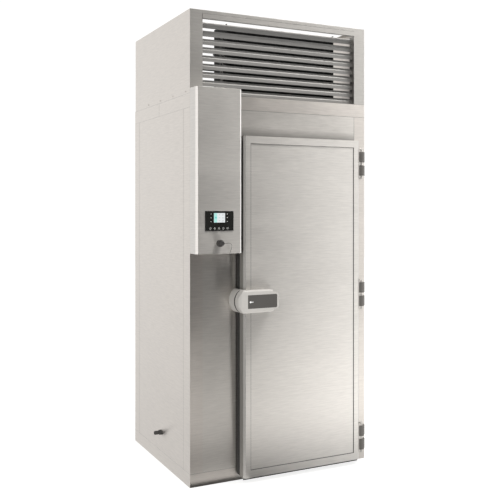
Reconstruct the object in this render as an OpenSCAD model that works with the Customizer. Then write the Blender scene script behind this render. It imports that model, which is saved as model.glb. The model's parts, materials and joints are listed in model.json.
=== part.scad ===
// Single-trolley roll-in blast chiller: insulated panel cabinet, louvred machine
// compartment on top, control column at the front left and an overlay door.
// Every piece is drawn with the left side at x = 0, the front wall at y = 0 and the
// floor at z = 0; in_cabinet() then moves the middle of the footprint to the origin.

/* [Cabinet] */
// Width over the side walls
body_w = 1075; // [1065:1:1095]
// Depth over the front and rear walls
body_d = 905; // [890:1:940]
// Overall height
body_h = 2460; // [2445:1:2500]
// Thickness of every insulated wall
wall_t = 70; // [66:1:74]
// Height of the rail that the wall panels stand on
base_h = 69; // [60:1:80]
// Height at which the wall panels end
wall_top = 1954; // [1945:1:1965]
// Thickness of the ceiling panels
ceiling_t = 73; // [66:1:80]
// Sheet thickness of the panel skins
skin = 1; // [0.8:0.1:1.5]
// Width of the folded edge of a panel skin
fold = 14; // [10:1:20]
// Width of the front corner posts, seen from the side
front_post_d = 91; // [80:1:100]
// Width of the rear corner posts, seen from the side
rear_post_d = 84; // [76:1:94]
// Depth of the front ceiling panel
front_ceiling_d = 468; // [440:1:480]

/* [Floor] */
// Height of the walk-in floor
floor_h = 18; // [15:1:20]
// Thickness of the floor sheet
floor_sheet = 3; // [2:0.5:4]
// Length of the bevel at the door sill
sill_bevel = 14; // [8:1:14]

/* [Door] */
// Place of the door's left edge
door_x = 270; // [266:1:274]
// Width of the door
door_w = 721; // [716:1:724]
// Height of the door's lower edge over the ground
door_z = 29; // [24:1:31]
// Height of the door
door_h = 1783; // [1778:1:1787]
// Thickness of the door leaf
door_t = 51; // [46:1:54]
// Gap between the cabinet front and the door leaf, filled by the gasket
door_gap = 27; // [24:1:28]
// Width of the raised rim round the door field
rim_w = 39; // [34:1:46]
// Depth of the recessed field
rim_step = 2; // [1:1:10]
// Width of the bevel on the door's upright edges
door_bevel = 10.5; // [8:0.5:12]
// Sheet thickness of the door skins
door_skin = 1.2; // [1:0.1:1.5]
// Width of the door frame's jambs and head
jamb_w = 42; // [40:1:44]
// Width of the jamb that shows beside the door
jamb_show = 12; // [10:1:14]
// How far the door reaches over the jamb on its hinge side
jamb_cover = 28; // [26:1:32]
// Room between the door plug and the frame
plug_room = 12; // [10:1:16]
// How far the door plug reaches into the frame
plug_depth = 15; // [10:1:20]
// Width of the gasket's section
gasket_w = 24; // [18:1:26]
// Width of the sweep under the door
sweep_w = 30; // [24:1:34]
// How far the lip of the sweep hangs under the door
sweep_drop = 13; // [9:1:18]

/* [Hinges] */
// Distance of the hinge axis from the door's right edge
hinge_off_x = 29; // [28:1:31]
// Distance of the hinge axis in front of the cabinet
hinge_off_y = 43; // [42:1:45]
// Radius of the hinge's plastic blocks
hinge_r = 21; // [19:0.5:22]
// Height of one plastic block
hinge_block_h = 57; // [50:1:60]
// Height of the steel knuckle between the blocks
hinge_mid_h = 19; // [15:1:24]
// Height of the steel ears above and below the blocks
hinge_ear_h = 13; // [10:1:16]
// Diameter of the hinge pin
hinge_pin_d = 12; // [8:0.5:14]
// Thickness of the hinge leaves
leaf_t = 4; // [3:0.5:4.5]
// Heights of the three hinges
hinge_z = [140, 949, 1685];

/* [Lever latch] */
// Height of the lever's middle
lever_z = 952; // [940:1:965]
// Height of the lever's body
lever_h = 119; // [110:1:126]
// Place of the lever's nose
lever_x = 217; // [212:1:220]
// Length of the lever's full-height body
lever_len = 209; // [200:1:216]
// Length of the grip tab past the body
grip_len = 24; // [20:1:34]
// Height of the grip tab
grip_h = 78; // [66:1:84]
// Thickness of the grip tab
grip_t = 14; // [10:1:16]
// Depth of the lever
lever_t = 46; // [44:1:50]
// Wall of the lever's shell
lever_wall = 4; // [3:0.5:5]
// Radius of the nose outline, seen from the front
nose_r = 71; // [65:1:80]
// Radius of the lever's long front edges
lever_edge = 12; // [8:1:16]
// Diameter of the lever's pin
lever_pin_d = 8; // [6:0.5:8.5]
// Height of the inlay plate
inlay_h = 70; // [60:1:74]
// Length of the inlay plate
inlay_w = 170; // [160:1:174]
// Thickness of the inlay plate
inlay_t = 1.6; // [1:0.1:2]
// Radius of the inlay plate's corners at the grip end
inlay_r = 7; // [3:1:10]
// Clearance between the strike housing and the lever's back
latch_gap = 4; // [3.6:0.1:6]

/* [Control column] */
// Width of the column
column_w = 257; // [250:1:257]
// Depth of the column
column_d = 82; // [76:1:90]
// Height of its lower edge
column_z = 1202; // [1190:1:1215]
// Height of the column
column_h = 849; // [840:1:860]
// Width of the bevel on its upright front edges
column_bevel = 11; // [8:0.5:14]
// Sheet thickness of the column
column_skin = 1.5; // [1:0.1:2]
// Width of the display glass
glass_w = 158; // [150:1:170]
// Height of the display glass
glass_h = 100; // [90:1:110]
// Height of the display's middle
glass_z = 1370; // [1360:1:1380]
// Width of the screen
screen_w = 62; // [56:1:70]
// Height of the screen
screen_h = 48; // [42:1:56]

/* [Probe socket] */
// Height of the socket
socket_z = 1256; // [1246:1:1262]
// Outer diameter of the socket's ring
ring_d = 34; // [30:0.5:36]
// Length of the ring
ring_len = 20; // [18:1:24]
// Outer diameter of the socket's nose
nose_d = 22; // [20:0.5:24]
// Depth of the grip cuts round the ring
knurl_cut = 0.8; // [0.5:0.1:1]
// Length of the cap in front of the ring
cap_len = 19; // [16:1:22]
// Diameter of the tether
tether_d = 2; // [1.6:0.1:2.4]

/* [Louvre] */
// Largest number of louvre blades
blade_n = 9; // [8:1:9]
// How far the blades stand behind the front
blade_set = 20; // [16:1:22]
// Distance from one blade to the next
blade_pitch = 43; // [42:0.5:43.5]
// Height of a blade's upright lip
lip_h = 16; // [12:1:18]
// Rise and run of a blade's sloped web
web_run = 17; // [14:1:18]
// Sheet thickness of the compartment
sheet = 1.5; // [1:0.1:2]
// Height of the rail above the blades
rail_h = 46; // [40:1:50]
// Height of the flat strip above the rail's raised band
rail_strip = 16; // [12:1:20]
// Depth of the hem along the rail's lower edge
rail_hem = 8; // [6:1:12]
// Width of the side screens' inward top return
screen_return = 30; // [24:1:36]
// How far the side screens stop short of the rear
screen_back = 8; // [0:1:20]

/* [Machines] */
// Diameter of the condenser fans
cond_fan_d = 280; // [260:2:290]
// Diameter of the evaporator fans
evap_fan_d = 310; // [290:2:320]
// Heights of the evaporator fans
evap_fan_z = [460, 980, 1500];
// Depth of the evaporator section beside the chamber
evap_w = 230; // [224:1:236]
// Thickness of the condenser coil
cond_t = 65; // [50:1:80]
// Distance of the condenser coil behind the louvre
cond_y = 150; // [140:1:160]
// Spacing of the coil fins
fin_pitch = 9; // [7:0.5:12]
// Diameter of the compressor's shell
comp_d = 220; // [200:2:240]
// Height of the compressor's shell
comp_h = 290; // [260:2:310]
// Diameter of the drain spigot
drain_d = 20; // [18:0.5:24]
// Bore of the drain spigot
drain_bore = 15; // [12:0.5:16]
// How far the spigot stands out of the side
drain_out = 39; // [30:1:45]
// Height of the drain spigot
drain_z = 173; // [165:1:180]
// Bore of the cable gland
gland_bore = 16; // [12:0.5:18]
// How far the drain nut reaches round the spigot
nut_rim = 4; // [3:0.5:6]

/* [Fits] */
// Radial clearance of a shaft in its bore
run_c = 0.05; // [0.02:0.01:0.1]
// Clearance between pieces that pass each other
gap = 0.3; // [0.2:0.05:0.6]

/* [Hidden] */

// Inner faces of the walls and the planes that many pieces share
in_x1 = body_w - wall_t;
in_y1 = body_d - wall_t;
top_z = wall_top + ceiling_t;
door_x1 = door_x + door_w;
door_top = door_z + door_h;
door_front = -door_gap - door_t;
frame_x0 = door_x - jamb_show;
open_x0 = frame_x0 + jamb_w;
open_x1 = min(in_x1 - jamb_w, door_x1 - jamb_cover);
frame_top = door_top - 4;
open_top = frame_top - jamb_w;

// Places that several pieces share
rail_t = 3;
drain_y = 437;
drain_thread_r = drain_d / 2 - 0.5;
nut_t = 12;
line_x = [wall_t + evap_w - 75, wall_t + evap_w - 38];
line_y = 600;
line_hole_d = 34;
line_foot_z = wall_top - 60;
pipe_r = 11;
liquid_r = 6;
liquid_drop = 60;
drip_z = [drain_z - 22, drain_z + 30];

// Machine compartment
screen_y1 = body_d - screen_back;
flange_return = blade_set + sheet + web_run + 6;
rail_return = 20;
blade_rows = min(blade_n, floor((body_h - rail_h - top_z) / blade_pitch));
rail_proud = 2;
gland_y = body_d - 85;
gland_z = top_z + 60;
gland_r = gland_bore / 2 + 5;
gland_out = 14;
tray_x = [40, body_w - 40];
tray_y = [100, screen_y1 - 10];
tray_t = 2;
tray_lip = 20;
channel_h = 30;
comp_x = 700;
comp_y = 560;
comp_z = top_z + tray_t + channel_h;
comp_foot = 75;
comp_dome = 26;
suction_z = comp_z + 210;
rec_x = 470;
rec_r = 55;
rec_h = 160;
liquid_z = comp_z + 60;
fin_t = 1.2;
cond_x = [276, 957];
cond_z = [top_z + 25, body_h - 30];
shroud_y = [cond_y + cond_t + 5, cond_y + cond_t + 103];
cond_fan_x = [for (q = [0.25, 0.75]) cond_x[0] + q * (cond_x[1] - cond_x[0])];
cond_fan_z = (cond_z[0] + cond_z[1]) / 2;
motor_len = 35;
motor_r = 42;
motor_off = 50;
shaft_r = 6;
shaft_len = 38;
hub_h = 40;
hub_r = 36;
blade_tilt = 30;
blade_chord = 62;

// Control column and socket
column_mid = column_w / 2;
plate_z = [column_z + 260, column_z + column_h - 65];
glass_x = [column_mid - glass_w / 2, column_mid + glass_w / 2];
glass_y = [-column_d - 1.5, -column_d + 2.5];
glass_zr = [glass_z - glass_h / 2, glass_z + glass_h / 2];
screen_x = [column_mid - screen_w / 2, column_mid + screen_w / 2];
screen_zr = [glass_zr[1] - 10 - screen_h, glass_zr[1] - 10];
barrel_r = 12;
flange_t = 3;
plug_r = 7;
ring_y = [-column_d - flange_t - gap - ring_len, -column_d - flange_t - gap];
cap_y1 = ring_y[0] - 1 - gap;
tether_path = [
    [141.5, -119, 1256], [148, -119.5, 1256.5], [158, -121, 1257], [169, -120, 1256],
    [179, -115, 1252], [186, -107, 1244], [190, -98, 1233], [190, -90, 1223],
    [189.5, -86.5, 1216], [189.5, -86, 1210],
];
tether_foot = tether_path[len(tether_path) - 1];

// Evaporator section
cowl_x = wall_t + evap_w;
cowl_y = [wall_t + 40, in_y1 - 40];
cowl_return = 50;
evap_x = [cowl_x - 205, cowl_x - 95];
evap_y = cowl_y;
evap_z = [drip_z[1] + 7, wall_top - 54];
evap_fan_y = (wall_t + in_y1) / 2;
guide_z = [215, 720];

// Door and latch
plug_x = [open_x0 + plug_room, open_x1 - plug_room];
plug_z = [door_z + 28, open_top - plug_room];
plug_y = plug_depth;
door_fold = 18;
back_skin = [-door_gap - door_skin, -door_gap];
lever_y = door_front - 1;
lever_round = 20;
strike_front = lever_y + latch_gap;
strike_w = door_x - 4 - lever_x;
pivot_x = lever_x + 14;
pivot_y = lever_y - 30;
pivot_boss_r = lever_pin_d / 2 + 3;
lever_pin_half = 35;
plate_x1 = lever_x + lever_len - lever_wall - 10;
inlay_x = [door_x - lever_x, door_x - lever_x + inlay_w];
release_x = door_x + 80;
release_r = 6;
knob_travel = 10;

// Hinges
hinge_x = door_x1 + hinge_off_x;
hinge_h = 2 * hinge_block_h + hinge_mid_h + 2 * hinge_ear_h;
ear_z = [
    [0, hinge_ear_h], [hinge_ear_h + hinge_block_h, hinge_h - hinge_ear_h - hinge_block_h],
    [hinge_h - hinge_ear_h, hinge_h],
];
block_z = [
    [hinge_ear_h, hinge_ear_h + hinge_block_h],
    [hinge_h - hinge_ear_h - hinge_block_h, hinge_h - hinge_ear_h],
];
leaf_reach = 36;
block_reach = 28;
ear_r = 12;

// Colours
steel = [0.80, 0.79, 0.77];
dark = [0.15, 0.15, 0.15];

// Moves the middle of the footprint to the origin
module in_cabinet() {
    translate([-body_w / 2, -body_d / 2, 0]) children();
}

// Block between two x, two y and two z values
module slab(x, y, z) {
    translate([x[0], y[0], z[0]]) cube([x[1] - x[0], y[1] - y[0], z[1] - z[0]]);
}

// Range made narrower by d at both ends
function inset(r, d) = [r[0] + d, r[1] - d];

// Middle part of a panel that its two skins leave open along the edges
module edge_band(x, y, z, along, over = 0) {
    if (along == "x")
        slab(inset(x, fold), inset(y, -over), inset(z, -over));
    else
        slab(inset(x, -over), inset(y, fold), inset(z, -over));
}

// Two folded skins, one on each face of a panel
module panel_skins(x, y, z, along) {
    difference() {
        slab(x, y, z);
        slab(inset(x, skin), inset(y, skin), inset(z, skin));
        edge_band(x, y, z, along, 1);
    }
}

// Foam between the two skins
module panel_core(x, y, z, along) {
    slab(inset(x, skin), inset(y, skin), inset(z, skin));
    edge_band(x, y, z, along);
}

// Upright corner post of sheet, open at its ends
module post(x, y) {
    difference() {
        slab(x, y, [base_h, wall_top]);
        slab(inset(x, skin), inset(y, skin), [base_h - 1, wall_top + 1]);
    }
}

// Cylinder along x, y or z from one place
module rod_x(x, y, z, r) {
    translate([x[0], y, z]) rotate([0, 90, 0]) cylinder(h = x[1] - x[0], r = r);
}
module rod_y(x, y, z, r) {
    translate([x, y[1], z]) rotate([90, 0, 0]) cylinder(h = y[1] - y[0], r = r);
}
module rod_z(x, y, z, r) {
    translate([x, y, z[0]]) cylinder(h = z[1] - z[0], r = r);
}

// Places of the wall panels, so that skins and foam agree
left_box = [[0, wall_t], [front_post_d, body_d - rear_post_d], [base_h, wall_top]];
right_box = [[in_x1, body_w], left_box[1], left_box[2]];
rear_box = [[wall_t, in_x1], [in_y1, body_d], [base_h, wall_top]];
front_box = [[wall_t, frame_x0], [0, wall_t], [base_h, wall_top]];
lintel_box = [[frame_x0, in_x1], [0, wall_t], [frame_top, wall_top]];
post_boxes = [
    [[0, wall_t], [0, front_post_d]],
    [[in_x1, body_w], [0, front_post_d]],
    [[0, wall_t], [body_d - rear_post_d, body_d]],
    [[in_x1, body_w], [body_d - rear_post_d, body_d]],
];
ceiling_z = [wall_top, top_z];

// ---- Floor and base ----

// Plan of the floor between the rails and the jambs
module floor_plan(d = 0) {
    difference() {
        translate([wall_t + d, d]) square([in_x1 - wall_t - 2 * d, in_y1 - 2 * d]);
        translate([wall_t - 1, -1]) square([open_x0 - wall_t + 1 + d, wall_t + 1 + d]);
        translate([open_x1 - d, -1]) square([in_x1 - open_x1 + 1 + d, wall_t + 1 + d]);
    }
}

module floor_plate() {
    color(steel) in_cabinet() difference() {
        linear_extrude(floor_h) floor_plan();
        translate([0, 0, -1]) linear_extrude(floor_h - floor_sheet + 1) floor_plan(floor_sheet);
        translate([0, 0, floor_h]) rotate([0, 90, 0]) translate([0, 0, -1]) linear_extrude(body_w + 2)
            polygon([[-1, -1], [floor_h - 4, -1], [floor_h - 4, 0], [0, sill_bevel], [-1, sill_bevel]]);
    }
}

module base_frame() {
    color(steel) in_cabinet() difference() {
        union() {
            slab([0, wall_t], [0, body_d], [0, base_h]);
            slab([in_x1, body_w], [0, body_d], [0, base_h]);
            slab([0, body_w], [in_y1, body_d], [0, base_h]);
            slab([0, frame_x0], [0, wall_t], [0, base_h]);
        }
        slab([rail_t, wall_t - rail_t], [rail_t, body_d - rail_t], [-1, base_h - rail_t]);
        slab([in_x1 + rail_t, body_w - rail_t], [rail_t, body_d - rail_t], [-1, base_h - rail_t]);
        slab([rail_t, body_w - rail_t], [in_y1 + rail_t, body_d - rail_t], [-1, base_h - rail_t]);
        slab([rail_t, frame_x0 - rail_t], [rail_t, wall_t - rail_t], [-1, base_h - rail_t]);
    }
}

// ---- Wall and ceiling panels ----

module drain_hole() {
    rod_x([-1, wall_t + 1], drain_y, drain_z, drain_thread_r + gap);
}

module left_panel() {
    color(steel) in_cabinet() difference() {
        panel_skins(left_box[0], left_box[1], left_box[2], "x");
        drain_hole();
    }
}

module right_panel() {
    color(steel) in_cabinet() panel_skins(right_box[0], right_box[1], right_box[2], "x");
}

module rear_panel() {
    color(steel) in_cabinet() panel_skins(rear_box[0], rear_box[1], rear_box[2], "y");
}

module front_left_panel() {
    color(steel) in_cabinet() panel_skins(front_box[0], front_box[1], front_box[2], "y");
}

module lintel_panel() {
    color(steel) in_cabinet() panel_skins(lintel_box[0], lintel_box[1], lintel_box[2], "y");
}

// Sleeve holes through the ceiling for the two refrigerant lines
module line_holes() {
    for (x = line_x) rod_z(x, line_y, [wall_top - 1, top_z + 1], line_hole_d / 2);
}

// Ceiling box of sheet, open only where the two ceiling panels meet
module ceiling_skins(y, core_y) {
    difference() {
        slab([0, body_w], y, ceiling_z);
        slab([skin, body_w - skin], core_y, inset(ceiling_z, skin));
        line_holes();
    }
}

module front_ceiling_panel() {
    color(steel) in_cabinet() ceiling_skins([0, front_ceiling_d], [skin, front_ceiling_d + 1]);
}

module rear_ceiling_panel() {
    color(steel) in_cabinet() ceiling_skins([front_ceiling_d, body_d], [front_ceiling_d - 1, body_d - skin]);
}

module corner_posts() {
    color(steel) in_cabinet() for (p = post_boxes) post(p[0], p[1]);
}

module panel_foam() {
    color("khaki") in_cabinet() {
        difference() {
            panel_core(left_box[0], left_box[1], left_box[2], "x");
            drain_hole();
        }
        panel_core(right_box[0], right_box[1], right_box[2], "x");
        panel_core(rear_box[0], rear_box[1], rear_box[2], "y");
        panel_core(front_box[0], front_box[1], front_box[2], "y");
        panel_core(lintel_box[0], lintel_box[1], lintel_box[2], "y");
        for (p = post_boxes)
            slab(inset(p[0], skin), inset(p[1], skin), [base_h, wall_top]);
        for (y = [[skin, front_ceiling_d], [front_ceiling_d, body_d - skin]]) difference() {
            slab([skin, body_w - skin], y, inset(ceiling_z, skin));
            line_holes();
        }
        linear_extrude(floor_h - floor_sheet) floor_plan(floor_sheet);
    }
}

// ---- Door frame ----

module door_frame() {
    color(steel) in_cabinet() difference() {
        slab([frame_x0, in_x1], [0, wall_t], [0, frame_top]);
        slab([open_x0, open_x1], [-1, wall_t + 1], [-1, open_top]);
        for (x = [[frame_x0, open_x0], [open_x1, in_x1]])
            slab(inset(x, door_skin), [door_skin, wall_t + 1], [-1, frame_top - door_skin]);
        slab([open_x0, open_x1], [door_skin, wall_t + 1], [open_top + door_skin, frame_top - door_skin]);
    }
}

// ---- Machine compartment ----

// Side screen with its top return and front and rear edges
module side_screen() {
    slab([0, sheet], [sheet, screen_y1], [top_z, body_h]);
    slab([0, screen_return], [sheet, screen_y1], [body_h - sheet, body_h]);
    slab([0, screen_return], [sheet, screen_y1], [top_z, top_z + sheet]);
    slab([0, 18], [screen_y1 - sheet, screen_y1], [top_z, body_h]);
}

module left_screen() {
    color(steel) in_cabinet() side_screen();
}

module right_screen() {
    color(steel) in_cabinet() difference() {
        translate([body_w, 0, 0]) mirror([1, 0, 0]) side_screen();
        rod_x([body_w - 5, body_w + 1], gland_y, gland_z, gland_r + gap);
    }
}

module louvre_frame() {
    color(steel) in_cabinet() {
        difference() {
            slab([0, body_w], [0, sheet], [top_z, body_h]);
            slab([wall_t, in_x1], [-1, sheet + 1], [top_z - 1, body_h - rail_h]);
        }
        // Side returns of the opening and the hem over it
        slab([wall_t - sheet, wall_t], [0, flange_return], [top_z, body_h - rail_h]);
        slab([in_x1, in_x1 + sheet], [0, flange_return], [top_z, body_h - rail_h]);
        slab([wall_t - sheet, in_x1 + sheet], [0, rail_hem], [body_h - rail_h, body_h - rail_h + sheet]);
        // Raised band of the rail between the two posts, and its return at the top
        slab([wall_t, in_x1], [-rail_proud, 0], [body_h - rail_h, body_h - rail_strip]);
        slab([sheet, body_w - sheet], [sheet, rail_return], [body_h - 2 * sheet, body_h - sheet]);
    }
}

// Section of one blade: upright lip, then a web going up and back
module blade_section() {
    t = sheet;
    polygon([
        [0, 0], [t, 0], [t, lip_h - t * 0.41], [t + web_run, lip_h + web_run - t * 0.41],
        [t + web_run, lip_h + web_run + t], [t + web_run - t * 0.41, lip_h + web_run + t], [0, lip_h + t * 0.59],
    ]);
}

module louvre_blades() {
    color(steel) in_cabinet() for (k = [0 : blade_rows - 1])
        translate([wall_t + gap, blade_set, top_z + k * blade_pitch]) rotate([90, 0, 90])
            linear_extrude(in_x1 - wall_t - 2 * gap) blade_section();
}

module unit_tray() {
    color("darkgray") in_cabinet() {
        difference() {
            slab(tray_x, tray_y, [top_z, top_z + tray_lip]);
            slab(inset(tray_x, tray_t), inset(tray_y, tray_t), [top_z + tray_t, top_z + tray_lip + 1]);
            for (x = line_x) rod_z(x, line_y, [top_z - 1, top_z + tray_lip], line_hole_d / 2);
        }
        // Two channels that carry the compressor and the receiver
        for (y = [comp_y - comp_foot, comp_y + comp_foot])
            slab([comp_x - 330, comp_x + comp_d / 2 + 30], [y - 20, y + 20], [top_z + tray_t, comp_z]);
    }
}

module compressor() {
    color(dark) in_cabinet() {
        translate([comp_x, comp_y, comp_z]) {
            for (a = [45 : 90 : 315]) rotate(a) translate([comp_foot * 1.414, 0, 0]) cylinder(h = 12, r = 14);
            translate([-comp_foot - 14, -comp_foot - 14, 12]) cube([2 * comp_foot + 28, 2 * comp_foot + 28, 4]);
            translate([0, 0, 16]) cylinder(h = comp_h - comp_dome, r = comp_d / 2);
            translate([0, 0, 16 + comp_h - comp_dome]) cylinder(h = comp_dome, r1 = comp_d / 2, r2 = comp_d / 2 - comp_dome);
            // Weld seam round the shell and the terminal cover
            translate([0, 0, comp_h * 0.55]) cylinder(h = 8, r = comp_d / 2 + 3);
            translate([-35, comp_d / 2 - 12, 80]) cube([70, 40, 80]);
            // Suction and discharge stubs, bored for the pipes
            translate([-comp_d / 2 + 15, 0, suction_z - comp_z]) rotate([0, -90, 0]) difference() {
                cylinder(h = 35, r = pipe_r + 3);
                translate([0, 0, 15]) cylinder(h = 25, r = pipe_r + run_c);
            }
        }
    }
}

module liquid_receiver() {
    color(dark) in_cabinet() translate([rec_x, comp_y, comp_z]) {
        cylinder(h = 6, r = rec_r + 14);
        translate([0, 0, 6]) cylinder(h = 20, r = rec_r - 10);
        translate([0, 0, 26]) cylinder(h = rec_h - 40, r = rec_r);
        translate([0, 0, 26 + rec_h - 40]) cylinder(h = 14, r1 = rec_r, r2 = rec_r - 14);
    }
}

// Plan of a finned block: thin fins joined by a web along the middle
module fin_plan(len, depth) {
    n = floor((len - fin_t) / fin_pitch);
    for (i = [0 : n]) translate([(len - fin_t) * i / n, 0]) square([fin_t, depth]);
    translate([0, depth / 2 - 1.5]) square([len, 3]);
}

module condenser_coil() {
    color(dark) in_cabinet() {
        translate([cond_x[0], cond_y, cond_z[0]]) linear_extrude(cond_z[1] - cond_z[0])
            fin_plan(cond_x[1] - cond_x[0], cond_t);
        // End plates stand on the tray
        for (x = [cond_x[0] - 2, cond_x[1]])
            slab([x, x + 2], [cond_y - 5, cond_y + cond_t + 5], [top_z + tray_t, cond_z[1] + 10]);
        // Return bends at the left end, in two columns
        for (y = [cond_y + cond_t * 0.3, cond_y + cond_t * 0.7])
            for (z = [cond_z[0] + 28 : 50 : cond_z[1] - 24])
                translate([cond_x[0] - 2, y, z]) return_bend();
    }
}

// Half ring of tube that joins two rows of a coil
module return_bend() {
    rotate([90, -90, 0]) rotate_extrude(angle = 180) translate([12.5, 0]) circle(r = 4.5);
}

module condenser_shroud() {
    color(dark) in_cabinet() difference() {
        slab(inset(cond_x, -2), shroud_y, [top_z + tray_t, cond_z[1] + 10]);
        slab(cond_x, [shroud_y[0] - 1, shroud_y[1] - sheet], [top_z + tray_t + sheet, cond_z[1] + 10 - sheet]);
        for (x = cond_fan_x)
            rod_y(x, [shroud_y[1] - 5, shroud_y[1] + 1], cond_fan_z, cond_fan_d / 2 + 6);
    }
}

// Fan motor facing +z: body, shaft and three arms to a ring of holes at radius r
module fan_motor(r, reach) {
    translate([0, 0, -motor_len]) cylinder(h = motor_len, r = motor_r);
    cylinder(h = shaft_len, r = shaft_r);
    for (a = [30 : 120 : 270]) rotate(a) {
        translate([motor_r - 5, -6, -motor_len]) cube([r + 10 - motor_r + 5, 12, 4]);
        translate([r, -6, -motor_len]) cube([10, 12, motor_len + reach]);
    }
}

// Impeller round the z axis, with pitched blades on a bored hub
module impeller(d, blades = 5) {
    difference() {
        union() {
            cylinder(h = hub_h, r = hub_r);
            intersection() {
                difference() {
                    cylinder(h = hub_h, r = d / 2);
                    translate([0, 0, -1]) cylinder(h = hub_h + 2, r = hub_r - 4);
                }
                for (a = [0 : 360 / blades : 359]) rotate(a) translate([0, 0, hub_h / 2])
                    rotate([blade_tilt, 0, 0]) translate([0, -blade_chord / 2, -1])
                        cube([d / 2, blade_chord, 2]);
            }
        }
        translate([0, 0, -1]) cylinder(h = hub_h + 2, r = shaft_r + run_c);
    }
}

module condenser_fan_motors() {
    color(dark) in_cabinet() for (x = cond_fan_x)
        translate([x, shroud_y[1] + motor_off, cond_fan_z]) rotate([90, 0, 0])
            fan_motor(cond_fan_d / 2 + 14, motor_off);
}

module condenser_impeller(i) {
    color("gray") in_cabinet() translate([cond_fan_x[i], shroud_y[1] + motor_off - 4, cond_fan_z])
        rotate([90, 0, 0]) impeller(cond_fan_d);
}

module condenser_impeller_left() { condenser_impeller(0); }
module condenser_impeller_right() { condenser_impeller(1); }

module refrigerant_pipes() {
    color("peru") in_cabinet() {
        // Suction line: from the coil, up through the ceiling, then to the compressor's stub
        rod_x([evap_x[1], line_x[1]], line_y, line_foot_z, pipe_r);
        translate([line_x[1], line_y, line_foot_z]) sphere(r = pipe_r);
        rod_z(line_x[1], line_y, [line_foot_z, suction_z], pipe_r);
        translate([line_x[1], line_y, suction_z]) sphere(r = pipe_r);
        rod_y(line_x[1], [min(line_y, comp_y), max(line_y, comp_y)], suction_z, pipe_r);
        translate([line_x[1], comp_y, suction_z]) sphere(r = pipe_r);
        rod_x([line_x[1], comp_x - comp_d / 2 - 10], comp_y, suction_z, pipe_r);
        // Liquid line: from the coil, up through the ceiling, then to the receiver
        rod_x([evap_x[1], line_x[0]], line_y, line_foot_z - liquid_drop, liquid_r);
        translate([line_x[0], line_y, line_foot_z - liquid_drop]) sphere(r = liquid_r);
        rod_z(line_x[0], line_y, [line_foot_z - liquid_drop, liquid_z], liquid_r);
        translate([line_x[0], line_y, liquid_z]) sphere(r = liquid_r);
        rod_y(line_x[0], [min(line_y, comp_y), max(line_y, comp_y)], liquid_z, liquid_r);
        translate([line_x[0], comp_y, liquid_z]) sphere(r = liquid_r);
        rod_x([line_x[0], rec_x - rec_r], comp_y, liquid_z, liquid_r);
    }
}

module cable_gland() {
    color(dark) in_cabinet() difference() {
        union() {
            rod_x([body_w - 24, body_w + gland_out], gland_y, gland_z, gland_r);
            for (x = [body_w - sheet - 6, body_w]) translate([x, gland_y, gland_z]) rotate([0, 90, 0])
                cylinder(h = 6, r = gland_r + 5, $fn = 6);
        }
        rod_x([body_w - 25, body_w + gland_out + 1], gland_y, gland_z, gland_bore / 2);
    }
}

// ---- Control column ----

// Plan of the column, with bevelled front edges, drawn d inside its faces
module column_plan(d) {
    b = column_bevel - 0.586 * d;
    w = column_w - d;
    f = d - column_d;
    polygon([[d, 0], [d, f + b], [d + b, f], [w - b, f], [w, f + b], [w, 0]]);
}

module control_column() {
    color(steel) in_cabinet() difference() {
        translate([0, 0, column_z]) linear_extrude(column_h) column_plan(0);
        translate([0, 0, column_z + column_skin]) linear_extrude(column_h - 2 * column_skin)
            union() {
                column_plan(column_skin);
                translate([column_skin, -1]) square([column_w - 2 * column_skin, 2]);
            }
        slab(inset(glass_x, -0.2), [-column_d - 1, -column_d + 5], inset(glass_zr, -0.2));
        rod_y(column_mid, [-column_d - 1, -column_d + 5], socket_z, barrel_r + 0.2);
    }
}

module control_chassis() {
    color("lightgray") in_cabinet() {
        slab([25, column_w - 25], [-14, -12], plate_z);
        for (x = [40, column_w - 40], z = inset(plate_z, 20))
            rod_y(x, [-12.5, 0], z, 6);
        // Supply, relays and the main contactors
        slab([40, 120], [-58, -13], [plate_z[1] - 150, plate_z[1] - 50]);
        for (i = [0 : 3]) slab([135 + 24 * i, 135 + 24 * i + 20], [-50, -13], [plate_z[1] - 140, plate_z[1] - 55]);
        slab([50, 207], [-40, -13], [plate_z[1] - 310, plate_z[1] - 190]);
        // Housing of the controller behind the glass
        slab([column_mid - 70, column_mid + 70], [glass_y[1], -13], [glass_z - 42, glass_z + 42]);
    }
}

module display_glass() {
    color([0.1, 0.1, 0.1]) in_cabinet() difference() {
        slab(glass_x, glass_y, glass_zr);
        slab(inset(screen_x, -0.1), [glass_y[0] - 1, glass_y[1] - 1], inset(screen_zr, -0.1));
    }
}

module display_screen() {
    color([0.75, 0.85, 0.85]) in_cabinet() slab(screen_x, [glass_y[0] + 0.3, glass_y[1] - 1], screen_zr);
}

// ---- Probe socket, its ring, cap and tether ----

module probe_socket() {
    color("gray") in_cabinet() difference() {
        union() {
            rod_y(column_mid, [-column_d, -column_d + 22], socket_z, barrel_r);
            rod_y(column_mid, [-column_d - flange_t, -column_d], socket_z, ring_d / 2);
            rod_y(column_mid, [ring_y[0] - 1, -column_d - flange_t], socket_z, nose_d / 2);
            // Nut behind the sheet
            translate([column_mid, -column_d + column_skin + 5, socket_z]) rotate([90, 0, 0])
                cylinder(h = 5, r = barrel_r + 5, $fn = 6);
        }
        rod_y(column_mid, [ring_y[0] - 2, -column_d - flange_t - 1], socket_z, plug_r + run_c);
    }
}

module socket_ring() {
    color("dimgray") in_cabinet() difference() {
        rod_y(column_mid, ring_y, socket_z, ring_d / 2);
        rod_y(column_mid, inset(ring_y, -1), socket_z, nose_d / 2 + run_c);
        // Grip cuts round the ring
        for (a = [0 : 20 : 359]) translate([column_mid, 0, socket_z]) rotate([0, a, 0])
            translate([ring_d / 2, ring_y[1] - 3, 0]) rotate([90, 0, 0])
                cylinder(h = ring_len - 6, r = knurl_cut * 1.6, $fn = 16);
    }
}

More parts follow.
